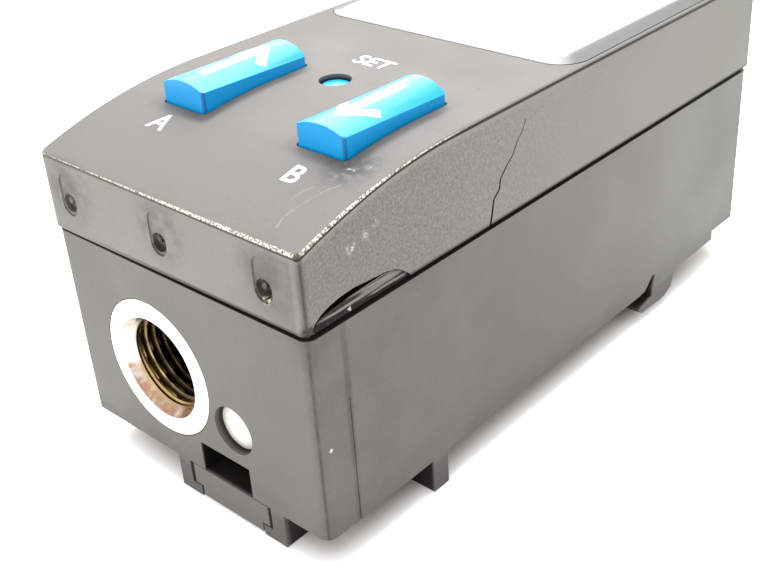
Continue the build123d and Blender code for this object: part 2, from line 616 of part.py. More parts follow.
def key_cap(x):
    """Blue key: bar with an arched top, deeper arched at the rear, and a retaining flange below the lid."""
    front, rear = KEY_Y - KEY_LENGTH / 2, KEY_Y + KEY_LENGTH / 2
    ends = [key_end(x, FRONT + front, KEY_FRONT_RISE, KEY_FRONT_CROWN)]
    ends.append(key_end(x, FRONT + rear, KEY_REAR_RISE, KEY_REAR_CROWN))
    bar = loft(ends, ruled=True)
    bar = fillet(bar.edges().filter_by(Axis.Z), 0.2)
    reach = KEY_WIDTH / 2 + 0.7
    flange = block(x - reach, x + reach, front - 0.7, rear + 0.7, KEY_FLANGE_BOTTOM, KEY_FLANGE_TOP)
    return bar + flange


def edit_key():
    """Small recessed key."""
    stem = post(EDIT_X, EDIT_Y, EDIT_RADIUS - 0.12, KEY_FLANGE_TOP - 0.1, TOP - 0.45)
    stem = fillet(stem.faces().sort_by(Axis.Z)[-1].edges(), 0.2)
    return stem + post(EDIT_X, EDIT_Y, 2.3, KEY_FLANGE_BOTTOM, KEY_FLANGE_TOP)


DOME_FOOT, DOME_HEAD, DOME_HOLE = 2.7, 2.0, 2.1
EDIT_DOME_SCALE = 0.8


def dome(x, y, scale=1.0):
    """Silicone dome on the mat, hollow under its cap."""
    cap_top = KEY_FLANGE_BOTTOM - 0.02
    foot, head = DOME_FOOT * scale, DOME_HEAD * scale
    outline = [(foot, MAT_TOP), (head, MAT_TOP + 1.1), (head, cap_top), (0, cap_top), (0, cap_top - 0.4),
               (head - 0.35, cap_top - 0.4), (head - 0.35, MAT_TOP + 1.0), (foot - 0.45, MAT_TOP)]
    face = make_face(Polyline(*[(r, 0, z) for r, z in outline], close=True))
    return Pos(x, FRONT + y, 0) * revolve(face, Axis.Z)


def contact_pill(x, y, scale=1.0):
    """Conductive pill that closes the contacts under a dome."""
    return post(x, y, 1.35 * scale, BOARD_TOP + 0.12 + KEY_TRAVEL, KEY_FLANGE_BOTTOM - 0.44)


def keypad_mat():
    """Silicone mat that seals the keys, with an opening under each dome."""
    mat = rounded_plate(12.2, 8.2, 27.6, 1.0, BOARD_TOP, MAT_TOP)
    for x in (KEY_A_X, KEY_B_X):
        mat -= post(x, KEY_Y, DOME_HOLE, 0, TOP)
    return mat - post(EDIT_X, EDIT_Y, DOME_HOLE * EDIT_DOME_SCALE, 0, TOP)


def key_contacts():
    """Gold contact pads under the pills, two half discs for each key."""
    pads = []
    for x, y, radius in ((KEY_A_X, KEY_Y, 1.6), (KEY_B_X, KEY_Y, 1.6), (EDIT_X, EDIT_Y, 1.3)):
        disc = post(x, y, radius, BOARD_TOP, BOARD_TOP + 0.06)
        for side in (-1, 1):
            x0, x1 = sorted((x + side * 0.15, x + side * 3))
            pads.append(disc & block(x0, x1, y - 3, y + 3, 0, TOP))
    return Compound(children=[pad.solids()[0] for pad in pads])


# ---- rail latch --------------------------------------------------------------------------------
def rail_latch():
    """T-section slider whose nose grips the rail's front flange; a driver in the pocket pulls it forward."""
    tail = RAIL_FRONT + 0.1
    front = BASE_INSET
    body = block(LATCH_X - LATCH_HALF, LATCH_X + LATCH_HALF, front, tail, LATCH_SHOULDER, LATCH_TOP)
    body += block(LATCH_X - LATCH_STEM_HALF, LATCH_X + LATCH_STEM_HALF, front, tail, LATCH_BOTTOM, LATCH_SHOULDER)
    rail_clear = UNDERSIDE - 1.25
    nose = side_polygon([(tail - 0.1, LATCH_BOTTOM), (tail - 0.1, rail_clear), (RAIL_FRONT + 2.4, rail_clear),
                         (RAIL_FRONT + 2.4, rail_clear - 0.5), (RAIL_FRONT + 0.6, LATCH_BOTTOM)])
    body += Pos(LATCH_X - LATCH_STEM_HALF, 0, 0) * extrude(nose, amount=2 * LATCH_STEM_HALF, dir=(1, 0, 0))
    body -= block(LATCH_X - 1.3, LATCH_X + 1.3, 5.25, SPRING_REAR + 0.05, LATCH_TOP - 2.0, LATCH_TOP + 1)
    body -= block(LATCH_X - 2.6, LATCH_X + 2.6, 2.4, 4.2, LATCH_TOP - 1.3, LATCH_TOP + 1)
    return body


def latch_spring():
    """Envelope of the coil spring that holds the latch closed."""
    coil = rod(LATCH_X, SPRING_Z, SPRING_RADIUS, SPRING_FRONT - 0.15, SPRING_REAR)
    return coil - rod(LATCH_X, SPRING_Z, SPRING_RADIUS - 0.25, 0, 20)


PARTS = {
    "lid_housing": lid_housing,
    "base_housing": base_housing,
    "housing_gasket": housing_gasket,
    "display_lens": display_lens,
    "lens_tape": lens_tape,
    "display_mask": display_mask,
    "lcd_panel": lcd_panel,
    "lcd_backlight": lcd_backlight,
    "lcd_holder": lcd_holder,
    "contact_strip": contact_strip,
    "main_board": main_board,
    "board_screws": board_screws,
    "microcontroller": microcontroller,
    "board_components": board_components,
    "flex_cable": flex_cable,
    "flex_sockets": flex_sockets,
    "port_insert": port_insert,
    "port_seal": port_seal,
    "inlet_screen": inlet_screen,
    "cell_seal": cell_seal,
    "sensor_cell": sensor_cell,
    "sensor_retainer": sensor_retainer,
    "retainer_screws": retainer_screws,
    "sensor_board": sensor_board,
    "sensor_leads": sensor_leads,
    "vent_plug": vent_plug,
    "connector_shell": connector_shell,
    "connector_insulator": connector_insulator,
    "connector_pins": connector_pins,
    "connector_seal": connector_seal,
    "connector_nut": connector_nut,
    "connector_board": connector_board,
    "board_header": board_header,
    "keypad_mat": keypad_mat,
    "key_contacts": key_contacts,
    "edit_key": edit_key,
    "edit_dome": lambda: dome(EDIT_X, EDIT_Y, EDIT_DOME_SCALE),
    "edit_pill": lambda: contact_pill(EDIT_X, EDIT_Y, EDIT_DOME_SCALE),
    "key_a": lambda: key_cap(KEY_A_X),
    "key_a_dome": lambda: dome(KEY_A_X, KEY_Y),
    "key_a_pill": lambda: contact_pill(KEY_A_X, KEY_Y),
    "key_b": lambda: key_cap(KEY_B_X),
    "key_b_dome": lambda: dome(KEY_B_X, KEY_Y),
    "key_b_pill": lambda: contact_pill(KEY_B_X, KEY_Y),
    "rail_latch": rail_latch,
    "latch_spring": latch_spring,
}

os.makedirs("parts", exist_ok=True)
for name, make in PARTS.items():
    export_step(make(), f"parts/{name}.step")
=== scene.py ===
"""Looks of the rail-mounted pressure sensor, round its CAD frame. Metres, +Z up, air port towards -Y."""
import json
import math

import bmesh
import bpy
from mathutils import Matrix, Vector
from mathutils.bvhtree import BVHTree


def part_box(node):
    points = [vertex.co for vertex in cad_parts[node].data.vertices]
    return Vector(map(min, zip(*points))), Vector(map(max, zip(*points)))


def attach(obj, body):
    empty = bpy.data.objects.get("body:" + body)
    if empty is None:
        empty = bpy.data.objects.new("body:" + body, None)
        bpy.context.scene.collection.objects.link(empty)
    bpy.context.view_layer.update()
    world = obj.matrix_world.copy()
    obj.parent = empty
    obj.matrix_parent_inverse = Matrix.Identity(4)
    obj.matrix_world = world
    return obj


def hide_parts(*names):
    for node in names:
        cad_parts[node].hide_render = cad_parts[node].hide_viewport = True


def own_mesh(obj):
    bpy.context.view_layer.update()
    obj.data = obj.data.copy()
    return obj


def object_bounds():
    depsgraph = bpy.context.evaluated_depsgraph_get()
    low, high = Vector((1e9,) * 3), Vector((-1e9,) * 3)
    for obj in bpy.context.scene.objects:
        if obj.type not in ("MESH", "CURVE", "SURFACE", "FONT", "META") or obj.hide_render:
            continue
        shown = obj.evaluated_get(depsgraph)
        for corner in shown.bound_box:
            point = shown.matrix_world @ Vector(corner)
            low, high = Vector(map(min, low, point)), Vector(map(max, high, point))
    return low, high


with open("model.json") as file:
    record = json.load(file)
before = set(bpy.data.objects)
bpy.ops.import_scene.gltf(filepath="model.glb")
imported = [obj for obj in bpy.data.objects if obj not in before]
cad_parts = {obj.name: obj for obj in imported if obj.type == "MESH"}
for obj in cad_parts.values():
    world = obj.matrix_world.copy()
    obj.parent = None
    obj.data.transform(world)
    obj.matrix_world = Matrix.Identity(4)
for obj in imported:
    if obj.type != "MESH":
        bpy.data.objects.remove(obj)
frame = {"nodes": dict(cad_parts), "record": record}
CAD_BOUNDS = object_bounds()
NODES = frame["nodes"]
SLOTS = {part["node"]: part["material_slot"] for part in frame["record"]["subparts"]}
MM = 0.001

LID_LOW, LID_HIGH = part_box("lid_housing")
BASE_LOW, BASE_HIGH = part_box("base_housing")
FRONT, REAR = LID_LOW.y, LID_HIGH.y
HALF = LID_HIGH.x
TOP = LID_HIGH.z
SEAM = TOP - 10.0 * MM           # lower edge of the lid
UNDERSIDE = BASE_LOW.z + 3.5 * MM
ARC_LENGTH = 18.0 * MM           # front stretch of the lid over which its top rises
ARC_RISE = 3.15 * MM
ARC_RADIUS = (ARC_LENGTH ** 2 + ARC_RISE ** 2) / (2 * ARC_RISE)
SEAM_GAP = 0.55 * MM             # between that edge and the base's rim
LID_TILT = 0.20 * MM             # how much the joint closes up from the +X side to the -X side
KEY_FLANGE = 0.7 * MM            # hidden rim of an arrow key, all round its bar
SHADE_INSET = 3.4 * MM           # how far inside the footprint the floor starts to brighten
LATCH_X = 3.5 * MM
FLOOR_DROP = 0.1 * MM            # keeps the feet and the floor from flickering into each other
WELD = 0.001 * MM                # points closer than this are one point
INK_THICKNESS, INK_LIFT, INK_SINK = 0.03 * MM, 0.016 * MM, 0.02 * MM
CAPITAL_HEIGHT = 0.73            # of a letter, as a share of its font's size
ROWS_PER_TURN = 12               # of a screw thread
COIL_END = 0.08                  # share of the spring at each end where its turns lie closed

# Spots in millimetres: across from the middle, behind the front face, and above the underside.
VENT = (5.3, 0.6, 6.6)
LOW_CORNER, HIGH_CORNER = (15.9, 0.5, 20.0), (15.85, 0.1, 26.7)   # of the lid, at its near corner
RIM_CORNER = (15.9, 0.6, 19.4)   # of the base, below them
MARKS = ((-12.6, 0.45), (-0.5, 0.90), (11.8, 1.0))   # moulding marks on the lid's front face, and how dirty
MARK_RISE = 23.6

# Name, letters, place across and behind the front face, and height of the letters.
LEGENDS = (
    ("legend_a", "A", -7.9, 7.3, 2.2),
    ("legend_b", "B", 8.95, 6.7, 2.15),
    ("legend_set", "SET", -0.45, 26.1, 2.0),
)
# Line on the lid's roof, width and depth of colour.
SCRATCHES = (
    (((12.2, 1.7), (11.95, 2.6), (12.0, 3.6), (12.35, 4.6), (12.55, 5.6), (12.9, 6.5), (13.4, 7.3)),
     0.11, 0.42),
    (((10.9, 4.4), (11.2, 5.4), (11.6, 6.2)), 0.09, 0.34),
)
# Spot on the lid's side, and size.
SCUFFS = (((16.0, 5.3, 25.3), 0.75), ((16.0, 6.8, 25.7), 0.6), ((16.0, 8.0, 26.2), 0.45))


def centre(node):
    low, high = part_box(node)
    return (low + high) / 2


# ---- camera, floor and light -------------------------------------------------------------------
def add_camera():
    data = bpy.data.cameras.new("camera")
    data.sensor_width = 36.0
    data.lens = 53.74
    data.shift_x = -0.048
    data.shift_y = -0.039
    data.clip_start = 0.005
    camera = bpy.data.objects.new("camera", data)
    camera.location = (0.0702, FRONT - 0.0472, UNDERSIDE + 0.0664)
    camera.rotation_euler = [math.radians(angle) for angle in (60.88, 2.52, 40.25)]
    bpy.context.scene.collection.objects.link(camera)
    bpy.context.scene.camera = camera


def add_area_light(name, place, target, size, power):
    data = bpy.data.lights.new(name, "AREA")
    data.shape = "DISK"
    data.size = size
    data.energy = power
    light = bpy.data.objects.new(name, data)
    light.location = place
    light.rotation_euler = (Vector(target) - Vector(place)).to_track_quat("-Z", "Y").to_euler()
    bpy.context.scene.collection.objects.link(light)


def add_floor():
    mesh = bpy.data.meshes.new("floor")
    half = 1.5
    corners = [(-half, -half, 0), (half, -half, 0), (half, half, 0), (-half, half, 0)]
    mesh.from_pydata(corners, [], [(0, 1, 2, 3)])
    floor = bpy.data.objects.new("floor", mesh)
    floor.location.z = CAD_BOUNDS[0][2] - FLOOR_DROP
    bpy.context.scene.collection.objects.link(floor)
    mesh.materials.append(paper())


def add_light():
    """Bright even room, with three soft lamps above, behind and in front."""
    world = bpy.data.worlds.new("studio")
    bpy.context.scene.world = world
    world.use_nodes = True
    background = world.node_tree.nodes["Background"]
    background.inputs["Color"].default_value = (1.0, 0.995, 0.985, 1)
    background.inputs["Strength"].default_value = 1.25
    add_area_light("overhead", (-0.10, 0.12, 0.55), (0, 0, 0), 0.50, 6.0)
    add_area_light("window", (-0.28, 0.33, 0.245), (0, 0, 0.02), 0.35, 1.5)
    add_area_light("front", (0.10, -0.55, 0.30), (0, 0, 0.01), 0.30, 0.9)


# ---- material kit ------------------------------------------------------------------------------
class Value:
    """A number in a node tree that adds, multiplies and compares with others."""

    def __init__(self, tree, socket):
        self.tree = tree
        self.socket = socket

    def math(self, operation, *others, clamp=False):
        node = self.tree.nodes.new("ShaderNodeMath")
        node.operation = operation
        node.use_clamp = clamp
        for slot, item in zip(node.inputs, (self, *others)):
            if isinstance(item, Value):
                self.tree.links.new(item.socket, slot)
            else:
                slot.default_value = item
        return Value(self.tree, node.outputs[0])

    def __add__(self, other):
        return self.math("ADD", other)

    def __sub__(self, other):
        return self.math("SUBTRACT", other)

    def __mul__(self, other):
        return self.math("MULTIPLY", other)

    def least(self, other):
        return self.math("MINIMUM", other)

    def most(self, other):
        return self.math("MAXIMUM", other)

    def absolute(self):
        return self.math("ABSOLUTE")

    def below(self, limit):
        """How far the number is below a limit."""
        return self.math("MULTIPLY_ADD", -1.0, limit)

    def ramp(self, start, end, low=0.0, high=1.0):
        """Smooth step from low at start to high at end."""
        node = self.tree.nodes.new("ShaderNodeMapRange")
        node.interpolation_type = "SMOOTHSTEP"
        self.tree.links.new(self.socket, node.inputs[0])
        for slot, number in zip(list(node.inputs)[1:5], (start, end, low, high)):
            slot.default_value = number
        return Value(self.tree, node.outputs[0])


class Material:
    """A principled material with its object coordinates and the textures that vary it."""

    def __init__(self, name, colour, roughness, **settings):
        self.data = bpy.data.materials.new(name)
        self.data.use_nodes = True
        self.tree = self.data.node_tree
        self.shader = self.tree.nodes["Principled BSDF"]
        self.place = self.tree.nodes.new("ShaderNodeTexCoord").outputs["Object"]
        self.colour = (*colour, 1)
        self.shader.inputs["Base Color"].default_value = self.colour
        self.shader.inputs["Roughness"].default_value = roughness
        for socket, number in settings.items():
            self.shader.inputs[socket.replace("_", " ")].default_value = number
        self.colour_socket = None
        self.normal_socket = None

    def axes(self):
        split = self.tree.nodes.new("ShaderNodeSeparateXYZ")
        self.tree.links.new(self.place, split.inputs[0])
        return [Value(self.tree, out) for out in split.outputs]

    def stretched(self, scale, turn=(0, 0, 0)):
        mapping = self.tree.nodes.new("ShaderNodeMapping")
        mapping.inputs["Scale"].default_value = scale
        mapping.inputs["Rotation"].default_value = turn
        self.tree.links.new(self.place, mapping.inputs[0])
        return mapping.outputs[0]

    def noise(self, scale, detail=3.0, roughness=0.55, place=None):
        node = self.tree.nodes.new("ShaderNodeTexNoise")
        node.inputs["Scale"].default_value = scale
        node.inputs["Detail"].default_value = detail
        node.inputs["Roughness"].default_value = roughness
        self.tree.links.new(place or self.place, node.inputs["Vector"])
        return Value(self.tree, node.outputs[0])

    def cells(self, scale, feature="F1", place=None):
        node = self.tree.nodes.new("ShaderNodeTexVoronoi")
        node.feature = feature
        node.inputs["Scale"].default_value = scale
        self.tree.links.new(place or self.place, node.inputs["Vector"])
        return Value(self.tree, node.outputs["Distance"])

    def paint(self, amount, colour):
        """Mixes a colour over what is there, by an amount from 0 to 1."""
        mix = self.tree.nodes.new("ShaderNodeMix")
        mix.data_type = "RGBA"
        self.tree.links.new(amount.socket, mix.inputs["Factor"])
        if self.colour_socket:
            self.tree.links.new(self.colour_socket, mix.inputs["A"])
        else:
            mix.inputs["A"].default_value = self.colour
        mix.inputs["B"].default_value = (*colour, 1)
        self.colour_socket = mix.outputs["Result"]
        self.tree.links.new(self.colour_socket, self.shader.inputs["Base Color"])
        return self

    def rough(self, value):
        self.tree.links.new(value.socket, self.shader.inputs["Roughness"])
        return self

    def bump(self, height, depth, strength=1.0):
        """Raises the surface by height, from 0 to 1, times depth in metres."""
        node = self.tree.nodes.new("ShaderNodeBump")
        node.inputs["Strength"].default_value = strength
        node.inputs["Distance"].default_value = depth
        self.tree.links.new(height.socket, node.inputs["Height"])
        if self.normal_socket:
            self.tree.links.new(self.normal_socket, node.inputs["Normal"])
        self.normal_socket = node.outputs[0]
        self.tree.links.new(self.normal_socket, self.shader.inputs["Normal"])
        return self


def hypotenuse(a, b):
    return (a * a + b * b).math("SQRT")


def paper():
    """White paper, shaded close to the housing and glowing further out."""
    mat = Material("paper", (0.93, 0.93, 0.925), 0.8)
    mat.paint(mat.noise(6.0, 4).ramp(0.4, 0.7, 0.0, 0.3), (0.90, 0.90, 0.895))
    mat.shader.inputs["Emission Color"].default_value = (1.0, 0.96, 0.91, 1)
    x, y, _ = mat.axes()
    off_x = (x.absolute() - (BASE_HIGH.x - SHADE_INSET)).most(0.0)
    off_y = (y - BASE_HIGH.y).most(y.below(BASE_LOW.y + SHADE_INSET)).most(0.0)
    off = hypotenuse(off_x, off_y)
    mat.paint(off.ramp(3.0 * MM, 0.5 * MM) * 0.60, (0.60, 0.50, 0.43))
    glow = off.ramp(0.5 * MM, 5.0 * MM, 0.0, 0.40)
    mat.tree.links.new(glow.socket, mat.shader.inputs["Emission Strength"])
    return mat.bump(mat.noise(900.0, 2), 0.00003, 0.3).data


# ---- housing materials -------------------------------------------------------------------------
LID_GREY = (0.167, 0.159, 0.149)
BASE_GREY = (0.104, 0.099, 0.0905)
# Paler tones painted over the far ends of the lid and the base, as painted light.
LID_FAR_LIGHT, BASE_FAR_LIGHT = (0.166, 0.172, 0.154), (0.124, 0.129, 0.116)
# Dark dirt colour, which also serves as painted shade in joints, recesses and hollows.
GRIME_AND_SHADE = (0.020, 0.016, 0.012)
SOOT = (0.010, 0.007, 0.005)
BARE_AND_HIGHLIGHT = (0.62, 0.59, 0.52)         # rubbed and chipped plastic, also used as a painted highlight
NICKEL = (0.80, 0.775, 0.73)


def shade(colour, factor):
    return tuple(factor * part for part in colour)


def moulded(mat, colour, grain, grain_size, rough=(0.46, 0.60)):
    """Spark-eroded grain and faint cloudy patches of a handled moulding."""
    cloud = mat.noise(110.0, 3, 0.5)
    mat.paint(cloud.ramp(0.42, 0.72, 0.0, 0.35), shade(colour, 1.20))
    mat.paint(mat.noise(38.0, 2).ramp(0.50, 0.70, 0.0, 0.30), shade(colour, 0.82))
    speck = mat.noise(1.0 / grain_size, 2, 0.6)
    mat.paint(speck.ramp(0.58, 0.78, 0.0, 0.40), shade(colour, 1.7))
    mat.paint(speck.ramp(0.40, 0.24, 0.0, 0.45), shade(colour, 0.45))
    mat.rough(cloud.ramp(0.3, 0.7, *rough))
    mat.bump(speck, grain)


def inside(value, low, high, soft):
    """1 between low and high, fading to 0 over a soft distance outside."""
    return value.ramp(low - soft, low) * value.ramp(high + soft, high)


def distance(mat, spot):
    """Distance of a point from a spot, counted like the spots above."""
    x, y, z = spot
    node = mat.tree.nodes.new("ShaderNodeVectorMath")
    node.operation = "DISTANCE"
    mat.tree.links.new(mat.place, node.inputs[0])
    node.inputs[1].default_value = (x * MM, FRONT + y * MM, UNDERSIDE + z * MM)
    return Value(mat.tree, node.outputs["Value"])


def plan_distance(mat, across, along):
    """Distance of a point from an upright line, seen from above."""
    x, y, _ = mat.axes()
    return hypotenuse(x - across, y - along)


def blotches(mat):
    return mat.noise(300.0, 3, 0.6).ramp(0.30, 0.70, 0.45, 1.0)


def key_bar(key):
    """Lowest and highest corner of an arrow key's bar, without its hidden rim."""
    low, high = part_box(key)
    rim = Vector((KEY_FLANGE, KEY_FLANGE, 0))
    return low + rim, high - rim


def scratch(mat, u, v, line, width, amount, colour):
    """Thin mark along a line of (u, v) points, all in millimetres."""
    nearest = None
    points = [(across * MM, along * MM) for across, along in line]
    for (u0, v0), (u1, v1) in zip(points, points[1:]):
        du, dv = u1 - u0, v1 - v0
        square = du * du + dv * dv
        from_u, from_v = u - u0, v - v0
        share = (from_u * (du / square) + from_v * (dv / square)).math("ADD", 0.0, clamp=True)
        far = hypotenuse(from_u - share * du, from_v - share * dv)
        nearest = nearest.least(far) if nearest else far
    mat.paint(nearest.ramp(width * MM, 0.4 * width * MM) * amount, colour)


class LidMaterial(Material):
    """The lid's plastic, with a point's distances from the lid's edges and the masks its dirt shares."""

    def __init__(self):
        super().__init__("lid_plastic", LID_GREY, 0.5, Specular_IOR_Level=0.22)
        self.x, self.y, self.z = self.axes()
        self.back = self.y - FRONT
        self.side = self.x.absolute().below(HALF)
        self.end = self.back.least(self.y.below(REAR))
        into_arc = self.y.below(FRONT + ARC_LENGTH).most(0.0)
        drop = (into_arc * into_arc).below(ARC_RADIUS ** 2).math("SQRT")
        self.top = drop + (TOP - ARC_RADIUS) - self.z
        self.roof = self.top.ramp(0.5 * MM, 0.15 * MM)
        self.wall = self.top.ramp(0.4 * MM, 1.0 * MM)
        self.blotch = blotches(self)
        self.fine = self.noise(1900.0, 3, 0.7).ramp(0.36, 0.58)

    def speckle(self, low):
        """Fine noise from low to 1."""
        return self.fine.ramp(0.0, 1.0, low, 1.0)


def lid_grain_and_roof_shade(lid):
    """Coarse grain on the near side, and painted shade that darkens the roof."""
    grain = lid.noise(4200.0, 2, 0.7)
    coarse = lid.wall * lid.side.ramp(0.8 * MM, 0.2 * MM) * lid.back.ramp(44 * MM, 4 * MM, 0.03, 1.0)
    lid.paint(coarse * grain.ramp(0.50, 0.66, 0.0, 0.75), shade(LID_GREY, 1.55))
    lid.paint(coarse * grain.ramp(0.47, 0.34, 0.0, 0.75), shade(LID_GREY, 0.50))
    # painted shade: the roof darker than the walls, more so further back
    lid.paint(lid.roof * lid.back.ramp(0.0, 60 * MM, 0.55, 0.80), shade(LID_GREY, 0.66))


def lid_near_darkening(lid):
    """Darker towards the near corner: painted shade on the side, and darker blotches on the front."""
    # painted shade: the side darkens towards the near end
    near_shade = lid.wall * lid.back.ramp(46 * MM, 2 * MM) * lid.side.ramp(0.8 * MM, 0.2 * MM)
    lid.paint(near_shade * 0.55, shade(LID_GREY, 0.52))
    corner = lid.wall * lid.x.ramp(8 * MM, 0.95 * HALF) * lid.end.ramp(0.8 * MM, 0.2 * MM)
    lid.paint(corner * lid.blotch * 0.75, shade(LID_GREY, 0.50))


def moulding_marks(lid):
    """Dirty slots with a dimple each, inside a smudge."""
    smudge = lid.noise(520.0, 3, 0.6).ramp(0.38, 0.62, 0.15, 1.0)
    for place, dirt in MARKS:
        halo = distance(lid, (place + 0.4, 0.0, MARK_RISE + 0.4)).ramp(4.2 * MM, 1.0 * MM)
        lid.paint(halo * smudge * 0.55, shade(LID_GREY, 0.40))
        beside = (lid.x - place * MM).absolute()
        rise = lid.z - UNDERSIDE - MARK_RISE * MM
        outline = beside.ramp(1.05 * MM, 0.95 * MM) * rise.absolute().ramp(2.1 * MM, 1.9 * MM)
        slot = outline * inside(lid.back, 0.1 * MM, 0.6 * MM, 0.07 * MM) * rise.ramp(0.9 * MM, -1.4 * MM)
        lid.paint(slot * lid.speckle(0.35) * (0.80 * dirt), GRIME_AND_SHADE)
        dimple = distance(lid, (place, 0.2, MARK_RISE - 0.8)).ramp(0.95 * MM, 0.70 * MM)
        lid.paint(dimple * lid.speckle(0.50) * (0.97 * dirt), SOOT)
    near_mark = MARKS[-1][0]
    glint = distance(lid, (near_mark + 0.15, 0.1, MARK_RISE - 1.65)).ramp(0.55 * MM, 0.35 * MM)
    lid.paint(glint * lid.fine.ramp(0.75, 0.25), (0.42, 0.34, 0.29))


def lid_ends(lid):
    """A darker far left corner, and a far end painted paler, as painted light."""
    left = lid.wall * lid.back.ramp(5 * MM, 0.0) * lid.x.ramp(-HALF + 8 * MM, -HALF)
    lid.paint(left * lid.blotch * 0.35, shade(LID_GREY, 0.55))
    # painted light: the far end of the wall painted paler and greener
    lid.paint(lid.wall * lid.back.ramp(22 * MM, 80 * MM, 0.0, 0.85), LID_FAR_LIGHT)


def joint_shade_and_corner_marks(lid):
    """Painted shade along the joint, a darker band and spot at the upright corner, and a painted highlight
    beside it.
    """
    # painted shade along the joint, fading out towards the -X side
    lid.paint((lid.z - SEAM).ramp(0.30 * MM, 0.05 * MM) * lid.x.ramp(-HALF, 4 * MM, 0.0, 0.80), GRIME_AND_SHADE)
    upright = lid.side.ramp(0.36 * MM, 0.16 * MM) * lid.end.ramp(0.55 * MM, 0.20 * MM)
    lid.paint(upright * lid.wall * 0.90, GRIME_AND_SHADE)
    lid.paint(distance(lid, LOW_CORNER).ramp(1.1 * MM, 0.6 * MM) * lid.speckle(0.4) * 0.92, SOOT)
    # painted highlight beside the upright corner
    beside = inside(lid.side, 0.55 * MM, 0.80 * MM, 0.35 * MM) * lid.end.ramp(0.12 * MM, 0.04 * MM)
    lid.paint(beside * lid.wall * 0.06, BARE_AND_HIGHLIGHT)


def rubbed_edge(lid):
    """Worn top edge, widest at the near corner, with a dark line under it."""
    at_front, at_side = lid.end.ramp(0.5 * MM, 0.4 * MM), lid.side.ramp(0.5 * MM, 0.4 * MM)
    zone = at_front.most(at_side) * lid.top.ramp(0.60 * MM, 0.50 * MM)
    front_width = lid.x.ramp(-HALF, HALF, 0.035 * MM, 0.20 * MM)
    side_width = lid.back.ramp(24 * MM, 0.0, 0.0, 0.22 * MM)
    wide = (at_front * front_width).most(at_side * side_width)
    edge = lid.side.least(lid.end) - lid.top
    band = (edge.absolute() - wide).ramp(0.03 * MM, -0.03 * MM) * zone * wide.ramp(0.0, 0.05 * MM)
    close = inside(edge + wide, -0.18 * MM, -0.02 * MM, 0.03 * MM)
    under = close.most(inside(edge, -0.30 * MM, -0.04 * MM, 0.05 * MM) * at_side) * zone
    lid.paint(under * at_side * lid.back.ramp(10 * MM, 80 * MM, 0.95, 0.70), (0.014, 0.009, 0.004))
    lid.paint(under * at_front * lid.x.ramp(-HALF, HALF, 0.45, 0.85), (0.022, 0.017, 0.011))
    chips = lid.noise(5200.0, 3, 0.75)
    lid.paint(band * 0.60, shade(BARE_AND_HIGHLIGHT, 0.48))
    lid.paint(band * chips.ramp(0.49, 0.55) * 0.90, BARE_AND_HIGHLIGHT)
    lid.paint(band * chips.ramp(0.46, 0.40) * 0.70, GRIME_AND_SHADE)
    lid.paint(distance(lid, HIGH_CORNER).ramp(0.55 * MM, 0.25 * MM) * 0.9, (0.020, 0.013, 0.007))


def lid_scratches(lid):
    """Scratches on the roof and scuffs on the near side."""
    broken = lid.noise(1100.0, 2, 0.6).ramp(0.42, 0.56, 0.25, 1.0)
    for line, width, amount in SCRATCHES:
        scratch(lid, lid.x, lid.back, line, width, broken * amount, (0.28, 0.26, 0.23))
    scratch(lid, lid.x, lid.back, [(11.6, 26.2), (12.3, 26.5)], 0.16, broken * 0.5, shade(LID_GREY, 0.4))
    scuffed = lid.noise(2300.0, 3, 0.7).ramp(0.46, 0.60)
    for spot, size in SCUFFS:
        lid.paint(distance(lid, spot).ramp(size * MM, 0.15 * size * MM) * scuffed * 0.5, BARE_AND_HIGHLIGHT)


def key_shadow_and_dust(lid):
    """Painted shadow round the key openings, and dust at the near key's corner."""
    for key in ("key_a", "key_b"):
        low, high = key_bar(key)
        middle, size = (low + high) / 2, high - low
        off_x = ((lid.x - middle.x).absolute() - size.x / 2 - 0.4 * MM).most(0.0)
        off_y = ((lid.y - middle.y).absolute() - size.y / 2 - 0.4 * MM).most(0.0)
        # painted shadow on the roof round each key, strongest on its right and fading out at its back
        rim = lid.roof * hypotenuse(off_x, off_y).ramp(1.25 * MM, 0.35 * MM)
        right = (lid.x - middle.x).ramp(-3 * MM, 3 * MM, 0.15, 0.65)
        before = (lid.y - high.y).ramp(1.0 * MM, -3.3 * MM)
        lid.paint(rim * (right * before), (0.028, 0.026, 0.032))
    low, high = key_bar("key_b")
    dust = lid.roof * plan_distance(lid, high.x + 1.0 * MM, low.y - 0.5 * MM).ramp(3.6 * MM, 0.3 * MM)
    lid.paint(dust * lid.noise(1400.0, 2, 0.6).ramp(0.30, 0.58) * 0.80, (0.036, 0.040, 0.036))
    lid.paint(dust * lid.noise(1900.0, 2, 0.6).ramp(0.68, 0.72) * 0.4, BARE_AND_HIGHLIGHT)


def lid_plastic():
    lid = LidMaterial()
    moulded(lid, LID_GREY, 0.000014, 0.00021, (0.62, 0.74))
    for layer in (lid_grain_and_roof_shade, lid_near_darkening, moulding_marks, lid_ends, joint_shade_and_corner_marks, rubbed_edge):
        layer(lid)
    lid_scratches(lid)
    key_shadow_and_dust(lid)
    # painted shade on the lid's inner faces, weaker under the lens
    inner = lid.side.least(lid.end).ramp(2.0 * MM, 2.4 * MM) * lid.top.ramp(0.12 * MM, 0.45 * MM)
    lid.paint(inner * lid.back.ramp(34 * MM, 33 * MM, 0.3, 1.0) * 0.92, (0.008, 0.009, 0.014))
    return lid.data


